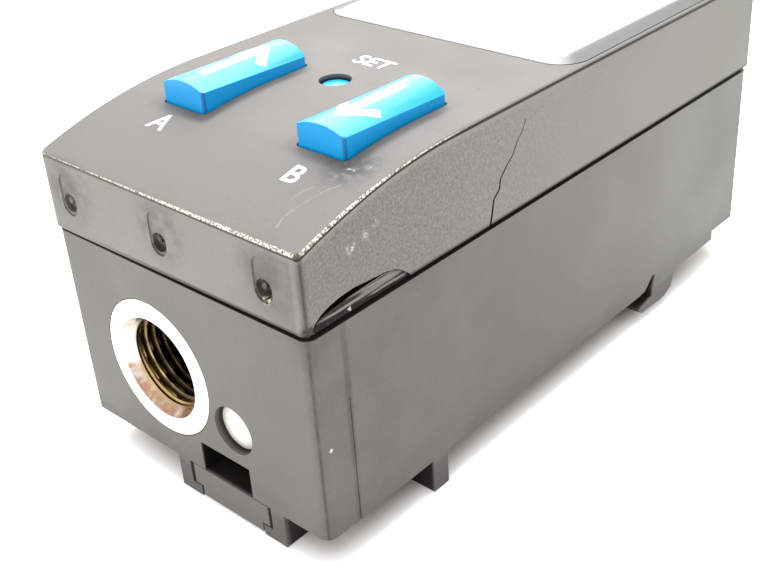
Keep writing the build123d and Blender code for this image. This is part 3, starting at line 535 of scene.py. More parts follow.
def base_light_shade_and_marks(mat, back, rise, side, end):
    """Painted shade towards the near corner and below the underside, darker towards the underside, a far end
    painted paler as painted light, and darker marks and a pale fleck by the near corner.
    """
    blotch = blotches(mat)
    at_side = side.ramp(0.8 * MM, 0.2 * MM)
    # painted shade: the side darkens towards the near end
    mat.paint(back.ramp(44 * MM, 0.0) * at_side * blotch * 0.42, shade(BASE_GREY, 0.50))
    # painted light: the far end of the side painted paler
    mat.paint(back.ramp(25 * MM, 80 * MM, 0.0, 0.85) * at_side, BASE_FAR_LIGHT)
    mat.paint(rise.ramp(3 * MM, 0.0, 0.0, 0.45) * mat.noise(160.0).ramp(0.4, 0.6), shade(BASE_GREY, 0.6))
    # painted shade below the underside
    mat.paint(rise.ramp(0.0, -0.8 * MM) * 0.45, shade(BASE_GREY, 0.45))
    mat.paint(side.ramp(0.50 * MM, 0.10 * MM) * end.ramp(0.50 * MM, 0.10 * MM) * 0.45, GRIME_AND_SHADE)
    line = side.ramp(0.3 * MM, 0.1 * MM) * inside(back, 3.7 * MM, 4.0 * MM, 0.35 * MM)
    mat.paint(line * blotch * 0.55, GRIME_AND_SHADE)
    near_corner = side.ramp(0.9 * MM, 0.6 * MM) * back.ramp(2 * MM, 1 * MM)
    crease = (side - end).absolute().ramp(0.30 * MM, 0.05 * MM) * near_corner
    mat.paint(crease * mat.noise(420.0).ramp(0.36, 0.60, 0.25, 1.0) * 0.55, GRIME_AND_SHADE)
    mat.paint(distance(mat, (BASE_HIGH.x / MM, 1.4, 8.8)).ramp(0.22 * MM, 0.12 * MM) * 0.75, BARE_AND_HIGHLIGHT)
    mat.paint(distance(mat, RIM_CORNER).ramp(4.2 * MM, 0.8 * MM) * blotch * 0.45, shade(BASE_GREY, 0.30))


def base_recesses(mat, x, z, back, rise, side):
    """Painted shade in the joint, the driver pocket, the vent's well, the hooks' mouths and between the feet.
    """
    lit = x.ramp(-HALF, 4 * MM, 0.45, 1.0) * back.ramp(30 * MM, 78 * MM, 1.0, 0.45)
    # painted shade on the base's rim in the joint, stronger to the +X side and the front
    mat.paint((z - (SEAM - SEAM_GAP)).ramp(-0.10 * MM, -0.02 * MM) * lit, GRIME_AND_SHADE)
    # painted shade: the driver pocket near-black inside
    pocket = inside(x - LATCH_X, -3.5 * MM, 3.5 * MM, 0.1 * MM) * inside(rise, -0.3 * MM, 3.5 * MM, 0.1 * MM)
    mat.paint(back.ramp(0.18 * MM, 0.35 * MM) * pocket * back.ramp(6 * MM, 5.6 * MM), (0.004, 0.0035, 0.003))
    # painted shade on the wall of the vent's well
    recess = back.ramp(0.25 * MM, 0.8 * MM)
    mat.paint(recess * distance(mat, VENT).ramp(2.6 * MM, 2.45 * MM) * 0.8, GRIME_AND_SHADE)
    # painted shade in the hooks' mouths
    mouth = inside(back, 46.0 * MM, 51.3 * MM, 0.1 * MM) * side.ramp(0.1 * MM, 0.3 * MM)
    mat.paint(mouth * rise.ramp(1.5 * MM, 1.45 * MM) * rise.ramp(-2.0 * MM, -1.4 * MM), GRIME_AND_SHADE)
    # painted shade between the feet
    between = recess * back.ramp(17 * MM, 15 * MM) * side.ramp(0.1 * MM, 0.3 * MM)
    mat.paint(between * rise.ramp(0.3 * MM, 0.0) * 0.95, (0.005, 0.0045, 0.0035))


def base_plastic():
    mat = Material("base_plastic", BASE_GREY, 0.52, Specular_IOR_Level=0.22)
    moulded(mat, BASE_GREY, 0.000010, 0.00024)
    x, y, z = mat.axes()
    back, rise = y - FRONT, z - UNDERSIDE
    side = x.absolute().below(BASE_HIGH.x)
    end = (y - BASE_LOW.y).least(y.below(BASE_HIGH.y))
    base_light_shade_and_marks(mat, back, rise, side, end)
    base_recesses(mat, x, z, back, rise, side)
    return mat.data


def torn_plastic():
    """Fresh break in the lid: paler, with fine tear lines along the seam and a ragged dark edge below."""
    mat = Material("torn_plastic", (0.125, 0.115, 0.107), 0.6, Specular_IOR_Level=0.08)
    tear = mat.noise(1500.0, 3, 0.7, mat.stretched((1.0, 0.10, 3.0), (0.16, 0, 0)))
    mat.paint(tear.ramp(0.52, 0.60, 0.0, 0.6), (0.21, 0.19, 0.17))
    _, y, z = mat.axes()
    back = y - FRONT
    lines = (tear - back.ramp(7 * MM, 1 * MM, 0.0, 0.12)).ramp(0.44, 0.39, 0.0, 0.95)
    mat.paint(lines, (0.014, 0.010, 0.008))
    ragged = (z - SEAM) - back.ramp(12 * MM, 0.5 * MM, 0.10 * MM, 0.60 * MM) + (tear - 0.5) * (0.6 * MM)
    strip = ragged.ramp(0.08 * MM, -0.02 * MM)
    mat.paint(strip, (0.008, 0.006, 0.005))
    mat.paint(strip * mat.noise(1700.0, 2).ramp(0.62, 0.66) * back.ramp(6 * MM, 4 * MM) * 0.8, BARE_AND_HIGHLIGHT)
    return mat.bump(tear, 0.00005).data


def crevice():
    """Painted shade in the depth of the tear."""
    mat = Material("crevice", (0.006, 0.005, 0.004), 0.8, Specular_IOR_Level=0.1)
    return mat.paint(mat.noise(2500.0).ramp(0.6, 0.8, 0.0, 0.6), (0.03, 0.025, 0.02)).data


# ---- mesh kit ----------------------------------------------------------------------------------
def add_piece(name, mesh, body, slot, material, *replaced):
    piece = bpy.data.objects.new(name, mesh)
    bpy.context.scene.collection.objects.link(piece)
    mesh.materials.clear()
    mesh.materials.append(material)
    if replaced:
        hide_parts(*replaced)
    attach(piece, body)
    return piece


def applied(piece):
    """Applies a piece's modifiers to its mesh."""
    graph = bpy.context.evaluated_depsgraph_get()
    mesh = bpy.data.meshes.new_from_object(piece.evaluated_get(graph), depsgraph=graph)
    piece.modifiers.clear()
    old = piece.data
    piece.data = mesh
    bpy.data.meshes.remove(old)


def reshape(mesh, *changes):
    """Runs changes on a mesh's editable form."""
    work = bmesh.new()
    work.from_mesh(mesh)
    for change in changes:
        change(work)
    work.to_mesh(mesh)
    work.free()
    return mesh


def outward(work):
    bmesh.ops.recalc_face_normals(work, faces=work.faces)


def triangulated(work):
    bmesh.ops.triangulate(work, faces=work.faces)


def joined_up(work):
    bmesh.ops.remove_doubles(work, verts=work.verts, dist=WELD)
    bmesh.ops.dissolve_limit(work, angle_limit=math.radians(0.5), verts=work.verts, edges=work.edges)


def clean_copy(node):
    """A CAD node's mesh with its flat faces joined up again and no stored normals."""
    mesh = NODES[node].data.copy()
    for name in ("custom_normal", "sharp_edge", "sharp_face"):
        attribute = mesh.attributes.get(name)
        if attribute:
            mesh.attributes.remove(attribute)
    return reshape(mesh, joined_up)


def smooth(piece, angle=32):
    """Smooth shading with sharp edges kept, weighted by face size so that flat faces stay flat."""
    mesh = piece.data
    for face in mesh.polygons:
        face.use_smooth = True
    mesh.set_sharp_from_angle(angle=math.radians(angle))
    weighted = piece.modifiers.new("weighted", "WEIGHTED_NORMAL")
    weighted.keep_sharp = True
    weighted.weight = 80


def refined(node, material, width, segments):
    """Stands for a CAD node that is a body by itself, with its sharp edges rounded."""
    piece = add_piece(node + "_finished", clean_copy(node), node, SLOTS[node], material, node)
    rounding = piece.modifiers.new("rounding", "BEVEL")
    rounding.width = width * MM
    rounding.segments = segments
    rounding.limit_method = "ANGLE"
    rounding.angle_limit = math.radians(35)
    rounding.use_clamp_overlap = True
    applied(piece)
    smooth(piece)
    return piece


def lathe(rows, x, z, segments=96):
    """Closed ring of (radius, y) rows turned about an axis along Y. The radius may depend on the angle."""
    points, faces = [], []
    for radius, y in rows:
        for step in range(segments):
            angle = 2 * math.pi * step / segments
            reach = radius(angle) if callable(radius) else radius
            points.append((x + reach * math.cos(angle), y, z + reach * math.sin(angle)))
    for row in range(len(rows)):
        here, there = row * segments, (row + 1) % len(rows) * segments
        for step in range(segments):
            after = (step + 1) % segments
            faces.append((here + step, here + after, there + after, there + step))
    mesh = bpy.data.meshes.new("turned")
    mesh.from_pydata(points, [], faces)
    return reshape(mesh, outward)


def thread_rows(start, end, radius, depth, pitch):
    """Rows of a right-hand screw thread whose crests grow by depth from radius, faded out at both ends."""
    rows = []
    steps = round(abs(end - start) / pitch * ROWS_PER_TURN)
    for index in range(steps + 1):
        y = start + (end - start) * index / steps
        fade = min(1.0, min(abs(y - start), abs(end - y)) / (0.8 * pitch))

        def reach(angle, y=y, fade=fade):
            phase = (y / pitch - angle / (2 * math.pi)) % 1.0
            tooth = 1.25 * abs(2 * phase - 1) - 0.125
            return radius + depth * fade * min(1.0, max(0.0, tooth))

        rows.append((reach, y))
    return rows


def hexagon(apothem):
    """Radius of a hexagon at an angle, with flats above and below."""
    def reach(angle):
        return apothem / math.cos((angle + math.pi / 2) % (math.pi / 3) - math.pi / 6)
    return reach


# ---- housing -----------------------------------------------------------------------------------
# Outlines on the lid's side: millimetres behind the front face and above the underside.
CRACK = ((21.9, 19.6), (22.3, 21.2), (22.5, 22.2), (23.3, 22.9), (23.5, 23.8),
         (24.4, 24.7), (25.2, 25.3), (25.9, 26.4), (26.6, 27.0), (27.1, 28.0))
FLAKE = ((0.4, 19.9), (0.9, 20.75), (1.6, 21.25), (2.6, 21.6), (3.7, 21.8), (5.2, 21.9),
         (6.9, 21.75), (8.7, 21.6), (9.8, 21.35), (10.6, 20.95), (11.5, 20.2), (11.8, 19.6))


def prism(name, outline, depth_low, depth_high):
    """Cutter for the lid's +X side. outline holds (y, z, depth scale) points."""
    outer = [(HALF + 0.5 * MM, y, z) for y, z, _ in outline]
    inner = [(HALF - depth_low - (depth_high - depth_low) * scale, y, z) for y, z, scale in outline]
    count = len(outline)
    faces = [tuple(range(count)), tuple(range(2 * count - 1, count - 1, -1))]
    for index in range(count):
        after = (index + 1) % count
        faces.append((index, index + count, after + count, after))
    mesh = bpy.data.meshes.new(name)
    mesh.from_pydata(outer + inner, [], faces)
    cutter = bpy.data.objects.new(name, reshape(mesh, triangulated, outward))
    bpy.context.scene.collection.objects.link(cutter)
    return cutter


def side_point(y, rise):
    """(y, z) on the lid's side, from millimetres behind the front face and above the underside."""
    return FRONT + y * MM, UNDERSIDE + rise * MM


def crack_cutter():
    """Hairline crack that runs up the lid's side from the seam."""
    left, right = [], []
    for index, (y, rise) in enumerate(CRACK):
        half = 0.10 * (1 - index / len(CRACK)) + 0.02
        left.append((*side_point(y - half, rise + 0.4 * half), 1.0))
        right.append((*side_point(y + half, rise - 0.4 * half), 1.0))
    return prism("crack", left + right[::-1], 0.0, 0.7 * MM)


def flake_cutter():
    """Shallow flake split off the lid's lower edge at the near corner."""
    outline = [(*side_point(y, rise), 1.0 if 19.95 < rise else 0.3) for y, rise in FLAKE]
    return prism("flake", outline, 0.05 * MM, 0.32 * MM)


def tear_cutter():
    """Open tear along the flake's upper edge, widest behind the corner."""
    upper, lower = [], []
    for y, rise in FLAKE[1:10]:
        width = 0.58 * math.exp(-((y - 4.4) / 3.2) ** 2) + 0.17
        upper.append((*side_point(y, rise + 0.02), 1.0))
        lower.append((*side_point(y + 0.1, rise - width), 1.0))
    return prism("tear", upper + lower[::-1], 0.0, 1.5 * MM)


def cut(piece, cutter):
    tool = piece.modifiers.new("cut", "BOOLEAN")
    tool.operation = "DIFFERENCE"
    tool.solver = "EXACT"
    tool.object = cutter
    applied(piece)
    bpy.data.objects.remove(cutter)


def damage_slot(face):
    """0 for sound plastic, 1 for the flake's pale floor, 2 for the dark depth of the tear and the crack."""
    place = face.center
    behind = HALF - place.x
    back, rise = place.y - FRONT, place.z - UNDERSIDE
    by_flake = 0.82 * MM < back < 12 * MM and SEAM + 0.02 * MM < place.z and rise < 22.2 * MM
    by_crack = 21.5 * MM < back < 27.5 * MM and rise < 28.3 * MM
    if not (by_flake or by_crack) or not 0.02 * MM < behind < 1.6 * MM:
        return 0
    return 1 if behind < 0.42 * MM and abs(face.normal.x) > 0.5 else 2


def make_lid():
    """The lid with its handling damage."""
    mesh = clean_copy("lid_housing")
    lid = add_piece("lid_shell", mesh, "housing", "housing_plastic", lid_plastic(), "lid_housing")
    for vertex in lid.data.vertices:
        if abs(vertex.co.z - SEAM) < 0.02 * MM:
            vertex.co.z -= LID_TILT * (HALF - vertex.co.x) / (2 * HALF)
    for cutter in (crack_cutter(), flake_cutter(), tear_cutter()):
        cut(lid, cutter)
    lid.data.materials.append(torn_plastic())
    lid.data.materials.append(crevice())
    for face in lid.data.polygons:
        face.material_index = damage_slot(face)
    smooth(lid)
    return lid


# ---- legends and arrows ------------------------------------------------------------------------
def surface_tree(*objects):
    points, faces = [], []
    for item in objects:
        start = len(points)
        points += [vertex.co.copy() for vertex in item.data.vertices]
        faces += [tuple(start + index for index in face.vertices) for face in item.data.polygons]
    return BVHTree.FromPolygons(points, faces)


def slice_up(work, step):
    """Cuts a flat shape along a grid, so that it can bend over a surface."""
    for axis, normal in ((0, Vector((1, 0, 0))), (1, Vector((0, 1, 0)))):
        places = [vertex.co[axis] for vertex in work.verts]
        low, high = min(places), max(places)
        for index in range(1, int((high - low) / step) + 1):
            geometry = work.verts[:] + work.edges[:] + work.faces[:]
            spot = normal * (low + index * step)
            bmesh.ops.bisect_plane(work, geom=geometry, plane_co=spot, plane_no=normal, dist=WELD)


def drop_on(work, surface):
    """Lays a thin flat layer on the surface below it."""
    middle = sum(vertex.co.z for vertex in work.verts) / len(work.verts)
    for vertex in work.verts:
        hit = surface.ray_cast(Vector((vertex.co.x, vertex.co.y, 0.1)), Vector((0, 0, -1)))[0]
        if hit:
            vertex.co.z = hit.z + (INK_LIFT if vertex.co.z > middle else -INK_SINK)


def print_on(name, mesh, surface, step, body, slot, material):
    """Prints a flat shape, given in X and Y, on a surface as a thin layer of ink."""
    def layer(work):
        bmesh.ops.remove_doubles(work, verts=work.verts, dist=2 * WELD)
        slice_up(work, step)
        bmesh.ops.solidify(work, geom=work.faces[:], thickness=INK_THICKNESS)
        triangulated(work)
        drop_on(work, surface)
        outward(work)

    mesh.name = name
    return add_piece(name, reshape(mesh, layer), body, slot, material)


def ink():
    mat = Material("white_ink", (0.86, 0.86, 0.85), 0.45)
    mat.paint(mat.noise(2500.0, 3, 0.7).ramp(0.60, 0.75, 0.0, 0.5), (0.62, 0.61, 0.60))
    return mat.bump(mat.noise(6000.0, 2), 0.000004).data


def mesh_of(name, curve):
    """The mesh of a text or curve."""
    holder = bpy.data.objects.new(name, curve)
    bpy.context.scene.collection.objects.link(holder)
    bpy.context.view_layer.update()
    mesh = bpy.data.meshes.new_from_object(holder)
    bpy.data.objects.remove(holder)
    return mesh


def legend_mesh(text, x, y, height):
    curve = bpy.data.curves.new("legend", "FONT")
    curve.body = text
    curve.align_x = "CENTER"
    curve.align_y = "CENTER"
    curve.size = height / CAPITAL_HEIGHT
    curve.offset = 0.012 * height
    mesh = mesh_of("legend", curve)
    for vertex in mesh.vertices:
        vertex.co.x += x
        vertex.co.y += y
    return mesh


def arrow_mesh(x, tail, tip):
    """Line arrow along Y with an open head."""
    way = 1 if tip > tail else -1
    half, stroke, head, spread = 0.58 * MM, 0.85 * MM, 3.1 * MM, 2.05 * MM
    neck = 1.5 * stroke + 1.1 * half
    outline = [
        (half, tail),
        (half, tip - way * neck),
        (spread - 0.45 * stroke, tip - way * (head + 0.3 * MM)),
        (spread + 0.35 * stroke, tip - way * (head - 0.35 * MM)),
        (0, tip),
    ]
    outline += [(-across, along) for across, along in reversed(outline[:-1])]
    mesh = bpy.data.meshes.new("arrow")
    mesh.from_pydata([(x + across, along, 0) for across, along in outline], [], [tuple(range(len(outline)))])
    return reshape(mesh, triangulated)


# ---- the other materials -----------------------------------------------------------------------
def blue_plastic():
    mat = Material("blue_plastic", (0.001, 0.285, 0.64), 0.30, Specular_IOR_Level=0.40)
    mat.paint(mat.noise(260.0).ramp(0.45, 0.75, 0.0, 0.4), (0.004, 0.275, 0.63))
    for key in ("key_a", "key_b"):
        low, high = key_bar(key)
        # painted shade down each key's near upright edge
        edge = plan_distance(mat, high.x - 0.1 * MM, low.y + 0.1 * MM)
        mat.paint(edge.ramp(0.24 * MM, 0.14 * MM) * 0.60, (0.0, 0.04, 0.16))
    mat.rough(mat.noise(900.0).ramp(0.3, 0.7, 0.27, 0.38))
    return mat.bump(mat.noise(3500.0, 2), 0.000003).data


def turning_marks(mat):
    return mat.noise(260.0, 3, 0.6, mat.stretched((0.25, 14.0, 0.25)))


def nickel(name="nickel", tint=NICKEL):
    mat = Material(name, tint, 0.2, Metallic=1.0)
    mat.paint(mat.noise(300.0).ramp(0.5, 0.75, 0.0, 0.35), shade(tint, 0.86))
    rings = turning_marks(mat)
    mat.rough(rings.ramp(0.3, 0.7, 0.13, 0.27))
    return mat.bump(rings, 0.000004).data


def port_metal():
    """Nickel plating outside, dark brassy thread inside, with painted coppery and golden reflections low in
    the mouth and painted shade deep in the bore.
    """
    mat = Material("port_nickel", NICKEL, 0.2, Metallic=1.0)
    x, y, z = mat.axes()
    middle = centre("port_insert")
    off_x, off_z = x - middle.x, z - middle.z
    bore = hypotenuse(off_x, off_z).ramp(5.05 * MM, 4.92 * MM)
    back = y - FRONT
    mat.paint(mat.noise(300.0).ramp(0.5, 0.75, 0.0, 0.35), (0.69, 0.66, 0.61))
    # painted reflections on the lower side of the mouth: coppery tone and golden streaks
    low = bore * (off_z * -1.0).ramp(0.6 * MM, 1.8 * MM)
    along = mat.stretched((1.0, 0.12, 1.0))
    mat.paint(low * mat.noise(620.0, 3, 0.6, along).ramp(0.36, 0.56, 0.35, 1.0), (0.42, 0.245, 0.165))
    streaks = mat.noise(1500.0, 2, 0.5, along).ramp(0.56, 0.64) * off_x.ramp(-1 * MM, 2 * MM)
    mat.paint(low * streaks, (0.85, 0.70, 0.42))
    mat.paint(bore * back.ramp(0.95 * MM, 1.25 * MM), (0.215, 0.155, 0.095))
    # painted golden reflection low in the first turns of the thread
    mat.paint(low * inside(back, 1.1 * MM, 2.2 * MM, 0.4 * MM) * 0.8, (0.52, 0.37, 0.17))
    # painted shade deeper in the bore
    mat.paint(bore * back.ramp(1.6 * MM, 4.0 * MM) * 0.96, (0.024, 0.015, 0.008))
    rings = turning_marks(mat)
    mat.rough(rings.ramp(0.3, 0.7, 0.16, 0.30))
    return mat.bump(rings, 0.000004).data


def brushed(name, colour, roughness=0.34):
    mat = Material(name, colour, roughness, Metallic=1.0)
    brush = mat.noise(500.0, 3, 0.6, mat.stretched((1.0, 1.0, 12.0)))
    mat.paint(brush.ramp(0.4, 0.7, 0.0, 0.3), shade(colour, 0.8))
    mat.rough(brush.ramp(0.3, 0.7, roughness - 0.08, roughness + 0.08))
    return mat.bump(brush, 0.000004).data


def plain_plastic(name, colour, roughness, **settings):
    mat = Material(name, colour, roughness, **settings)
    lighter = tuple(min(1.0, 1.25 * part + 0.01) for part in colour)
    mat.paint(mat.noise(220.0).ramp(0.42, 0.75, 0.0, 0.5), lighter)
    mat.rough(mat.noise(700.0, 2).ramp(0.3, 0.7, roughness - 0.06, roughness + 0.08))
    return mat.bump(mat.noise(3800.0, 2, 0.6), 0.000004).data


def latch_plastic():
    """The base's grey, with painted shade where the latch runs inside its guide."""
    grey = shade(BASE_GREY, 0.85)
    mat = Material("latch_plastic", grey, 0.5, Specular_IOR_Level=0.38)
    moulded(mat, grey, 0.000008, 0.00024)
    _, y, _ = mat.axes()
    back = y - FRONT
    # painted shade on the latch behind its front face
    mat.paint(back.ramp(0.25 * MM, 0.6 * MM) * back.ramp(15.4 * MM, 15.0 * MM) * 0.95, (0.006, 0.005, 0.004))
    return mat.data


def rubber(name, colour):
    mat = Material(name, colour, 0.7)
    mat.paint(mat.noise(600.0).ramp(0.5, 0.75, 0.0, 0.4), tuple(1.6 * part + 0.01 for part in colour))
    return mat.bump(mat.noise(4200.0, 3, 0.7), 0.00001).data


def lens_glass():
    """Clear in the middle; its sloping border is frosted white behind, and painted shade darkens it along the
    sides.
    """
    mat = Material("lens_clear", (0.93, 0.94, 0.945), 0.04, Transmission_Weight=0.9, IOR=1.49)
    x, y, _ = mat.axes()
    low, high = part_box("display_lens")
    across = x.absolute().below(high.x)
    along = (y - low.y).least(y.below(high.y))
    border = across.least(along)
    clear = border.ramp(1.8 * MM, 2.4 * MM, 0.0, 0.9)
    mat.tree.links.new(clear.socket, mat.shader.inputs["Transmission Weight"])
    smear = mat.noise(120.0, 4, 0.6, mat.stretched((1.0, 0.4, 1.0), (0, 0, 0.5)))
    mat.rough(smear.ramp(0.45, 0.75, 0.04, 0.12).most(border.ramp(2.2 * MM, 1.6 * MM, 0.0, 0.55)))
    mat.paint(border.ramp(2.4 * MM, 1.6 * MM), (0.26, 0.257, 0.25))
    # painted shade along the sides of the border
    by_sides = (along - across).ramp(-1.6 * MM, 1.6 * MM)
    mat.paint(border.ramp(2.4 * MM, 1.2 * MM) * by_sides, (0.060, 0.060, 0.058))
    mat.paint(mat.noise(800.0).ramp(0.66, 0.78, 0.0, 0.12), (0.80, 0.82, 0.82))
    return mat.data


def mask_print():
    mat = Material("mask_print", (0.80, 0.805, 0.81), 0.4)
    mat.paint(mat.noise(3000.0, 2).ramp(0.5, 0.7, 0.0, 0.2), (0.72, 0.72, 0.73))
    return mat.bump(mat.noise(5000.0, 2), 0.000002).data


def display_glass():
    mat = Material("display_glass", (0.70, 0.735, 0.715), 0.16, Coat_Weight=0.4)
    mat.paint(mat.noise(60.0, 2).ramp(0.4, 0.7, 0.0, 0.4), (0.64, 0.69, 0.67))
    return mat.rough(mat.noise(400.0).ramp(0.3, 0.7, 0.12, 0.22)).data


def sintered():
    mat = Material("sintered_bronze", (0.42, 0.28, 0.16), 0.55, Metallic=1.0)
    balls = mat.cells(5200.0)
    mat.paint(balls.ramp(0.35, 0.75, 0.0, 0.8), (0.10, 0.06, 0.035))
    return mat.bump(balls.ramp(0.0, 0.8, 1.0, 0.0), 0.00006).data


def membrane():
    """Vent disc, with painted shade round its rim."""
    mat = Material("membrane", (0.60, 0.575, 0.545), 0.75, Subsurface_Weight=0.1, Subsurface_Scale=0.0005)
    mat.paint(mat.noise(900.0).ramp(0.45, 0.7, 0.0, 0.6), (0.50, 0.46, 0.43))
    # painted shade round the disc's rim
    mat.paint(distance(mat, VENT).ramp(1.3 * MM, 2.3 * MM) * 0.8, (0.26, 0.235, 0.215))
    return mat.bump(mat.cells(3600.0).ramp(0.0, 0.7, 1.0, 0.0), 0.00002).data


def circuit_board():
    mat = Material("circuit_board", (0.012, 0.12, 0.045), 0.35)
    tracks = mat.cells(420.0, "DISTANCE_TO_EDGE", mat.stretched((1.0, 1.0, 0.2)))
    mat.paint(tracks.ramp(0.10, 0.06), (0.03, 0.22, 0.085))
    mat.rough(mat.noise(500.0, 2).ramp(0.3, 0.7, 0.28, 0.42))
    return mat.bump(tracks.ramp(0.10, 0.06), 0.00002).data


def chip_epoxy():
    mat = Material("chip_epoxy", (0.018, 0.018, 0.020), 0.5)
    mat.paint(mat.noise(1500.0).ramp(0.55, 0.75, 0.0, 0.5), (0.05, 0.05, 0.052))
    return mat.bump(mat.noise(5200.0, 2), 0.000006).data


def flex_film():
    """Amber film with conductors one millimetre apart."""
    mat = Material("flex_film", (0.45, 0.19, 0.03), 0.28, Coat_Weight=0.3)
    x, _, _ = mat.axes()
    lines = (x * (2 * math.pi / MM)).math("SINE")
    mat.paint(lines.ramp(-0.2, 0.2, 0.0, 0.7), (0.55, 0.28, 0.07))
    return mat.bump(lines.ramp(-0.2, 0.2), 0.00002).data


def repaint(materials):
    """Gives the CAD nodes that stay their finished materials, by record slot."""
    for node in NODES.values():
        for index, old in enumerate(node.data.materials):
            if old.name in materials:
                node.data.materials[index] = materials[old.name]


# ---- the other pieces --------------------------------------------------------------------------
def make_port(material):
    """Port insert with its G1/8 thread and wide lead-in."""
    middle = centre("port_insert")
    low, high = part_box("port_insert")
    face, flange = low.y, high.x - middle.x
    mouth, body, groove, chamber = 4.95 * MM, 6.0 * MM, 4.75 * MM, 3.9 * MM
    nozzle, nozzle_bore = 3.0 * MM, 1.5 * MM
    flange_back, groove_front, groove_back, shoulder = (FRONT + back * MM for back in (1.6, 10.6, 12.2, 13.4))
    chamber_front, chamber_back, taper = (FRONT + back * MM for back in (9.8, 10.8, 12.4))
    rows = [(mouth, face), (mouth + 0.12 * MM, face), (flange - 0.2 * MM, face),
            (flange - 0.06 * MM, face + 0.06 * MM), (flange, face + 0.2 * MM), (flange, flange_back),
            (body, flange_back), (body, groove_front), (groove, groove_front), (groove, groove_back),
            (body, groove_back), (body, shoulder), (nozzle, shoulder), (nozzle, high.y),
            (nozzle_bore, high.y), (nozzle_bore, taper), (chamber, chamber_back), (chamber, chamber_front)]
    crest, tooth, pitch = 4.283 * MM, 0.56 * MM, 0.907 * MM
    rows += thread_rows(FRONT + 9.6 * MM, FRONT + 1.15 * MM, crest, tooth, pitch)
    rows += [(mouth - 0.05 * MM, face + 0.12 * MM)]
    turned = lathe(rows, middle.x, middle.z)
    smooth(add_piece("port_turned", turned, "housing", "nickel", material, "port_insert"), 40)


def make_connector(material):
    """Plug connector's shell with its M12 thread and hexagon flange."""
    low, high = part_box("connector_shell")
    face = BASE_HIGH.y
    flange = face + 2.6 * MM
    neck = flange + 0.7 * MM
    bore, barrel, core, bevel = 4.95 * MM, 6.4 * MM, 5.4 * MM, 0.25 * MM
    flats = hexagon(8.0 * MM)

    def corners_at(limit):
        return lambda angle: min(flats(angle), limit)

    outer, bevelled = corners_at(9.1 * MM), corners_at(8.9 * MM)
    rows = [(bore, low.y), (barrel, low.y), (barrel, face), (bevelled, face), (outer, face + bevel),
            (outer, flange - bevel), (bevelled, flange), (core, flange), (core, neck)]
    rows += thread_rows(neck, high.y - 0.4 * MM, core, 0.6 * MM, 1.0 * MM)
    rows += [(5.35 * MM, high.y - 0.2 * MM), (5.2 * MM, high.y)]
    rows += [(5.05 * MM, high.y), (bore, high.y - 0.1 * MM)]
    turned = lathe(rows, 0.0, centre("connector_shell").z)
    smooth(add_piece("connector_turned", turned, "housing", "nickel", material, "connector_shell"), 40)


def make_spring(material):
    """The latch's coil spring, with closed ends."""
    low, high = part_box("latch_spring")
    axis_x, axis_z = (low.x + high.x) / 2, (low.z + high.z) / 2
    wire = 0.13 * MM
    radius = (high.x - low.x) / 2 - wire
    turns, per_turn = 9, 24
    length = high.y - low.y - 2 * wire
    curve = bpy.data.curves.new("coil", "CURVE")
    curve.dimensions = "3D"
    curve.bevel_depth = wire
    curve.bevel_resolution = 3
    curve.use_fill_caps = True
    line = curve.splines.new("POLY")
    line.points.add(turns * per_turn)
    for index, point in enumerate(line.points):
        share = index / (turns * per_turn)
        climb = min(1.0, max(0.0, (share - COIL_END) / (1 - 2 * COIL_END)))
        angle = 2 * math.pi * turns * share
        y = low.y + wire + length * ((1 - COIL_END) * climb + COIL_END * share)
        point.co = (axis_x + radius * math.cos(angle), y, axis_z + radius * math.sin(angle), 1)
    coil = mesh_of("coil", curve)
    spring = add_piece("latch_coil", coil, "housing", "spring_steel", material, "latch_spring")
    smooth(spring, 60)
    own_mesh(spring)


def make_dome(key, material):
    """A key's silicone dome, on a mesh of its own."""
    node = key + "_dome"
    dome = add_piece(key + "_dome_skin", clean_copy(node), "housing", "silicone", material, node)
    smooth(dome, 40)
    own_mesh(dome)


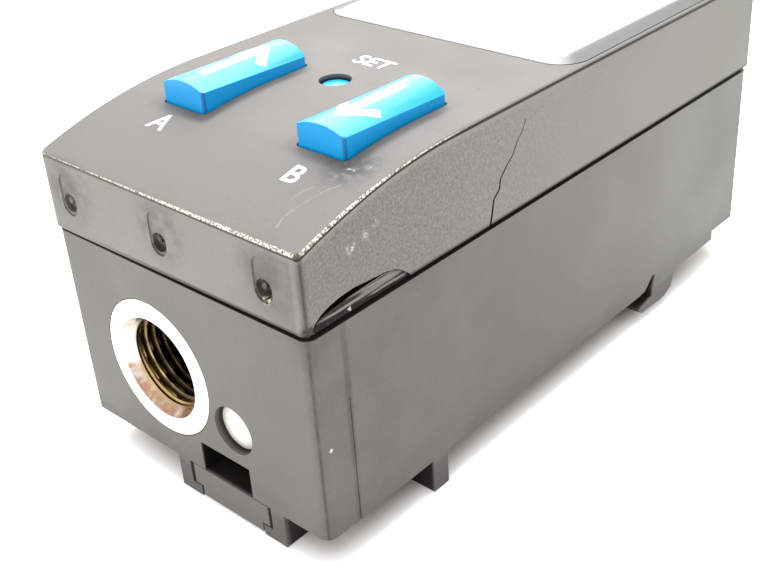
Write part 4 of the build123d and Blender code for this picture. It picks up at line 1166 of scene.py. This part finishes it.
def print_legends(lid, key_a, key_b):
    """Letters on the lid and an arrow on each key."""
    white = ink()
    surface = surface_tree(lid)
    for name, text, x, y, height in LEGENDS:
        shape = legend_mesh(text, x * MM, FRONT + y * MM, height * MM)
        print_on(name, shape, surface, 0.4 * MM, "housing", "housing_plastic", white)
    for key, body, way in ((key_a, "key_a", 1), (key_b, "key_b", -1)):
        spot = centre(body)
        shape = arrow_mesh(spot.x, spot.y - way * 3.9 * MM, spot.y + way * 4.3 * MM)
        print_on(body + "_arrow", shape, surface_tree(key), 0.3 * MM, body, "key_plastic", white)


def main():
    bpy.context.scene.view_settings.view_transform = "Standard"
    add_camera()
    add_floor()
    add_light()
    blue, plated = blue_plastic(), nickel()
    scatter = {"Subsurface_Weight": 0.2, "Subsurface_Scale": 0.0008}
    silicone = plain_plastic("silicone", (0.55, 0.55, 0.53), 0.5, **scatter)
    spring_steel = brushed("spring_steel", (0.55, 0.56, 0.58), 0.25)
    repaint({
        "housing_plastic": base_plastic(),
        "key_plastic": blue,
        "lens_clear": lens_glass(),
        "lens_tape": plain_plastic("lens_tape", (0.74, 0.74, 0.73), 0.6),
        "mask_print": mask_print(),
        "lcd_glass": display_glass(),
        "light_guide": plain_plastic("light_guide", (0.80, 0.81, 0.82), 0.2),
        "black_plastic": plain_plastic("black_plastic", (0.020, 0.020, 0.021), 0.42),
        "silicone": silicone,
        "contact_rubber": rubber("contact_rubber", (0.02, 0.02, 0.02)),
        "seal_rubber": rubber("seal_rubber", (0.012, 0.012, 0.012)),
        "gasket_foam": rubber("gasket_foam", (0.016, 0.014, 0.012)),
        "nickel": plated,
        "steel": brushed("steel", (0.60, 0.60, 0.61)),
        "screw_steel": brushed("screw_steel", (0.52, 0.52, 0.54), 0.28),
        "spring_steel": spring_steel,
        "gold": nickel("gold", (0.90, 0.66, 0.25)),
        "sintered": sintered(),
        "circuit_board": circuit_board(),
        "chips": chip_epoxy(),
        "flex_film": flex_film(),
        "membrane": membrane(),
    })
    lid = make_lid()
    refined("rail_latch", latch_plastic(), 0.10, 2)
    key_a = refined("key_a", blue, 0.14, 3)
    key_b = refined("key_b", blue, 0.14, 3)
    refined("edit_key", blue, 0.08, 2)
    for key, joint in (("key_a", "key_a_press"), ("key_b", "key_b_press"), ("edit", "edit_key_press")):
        make_dome(key, silicone)
    make_port(port_metal())
    make_connector(plated)
    make_spring(spring_steel)
    print_legends(lid, key_a, key_b)


main()
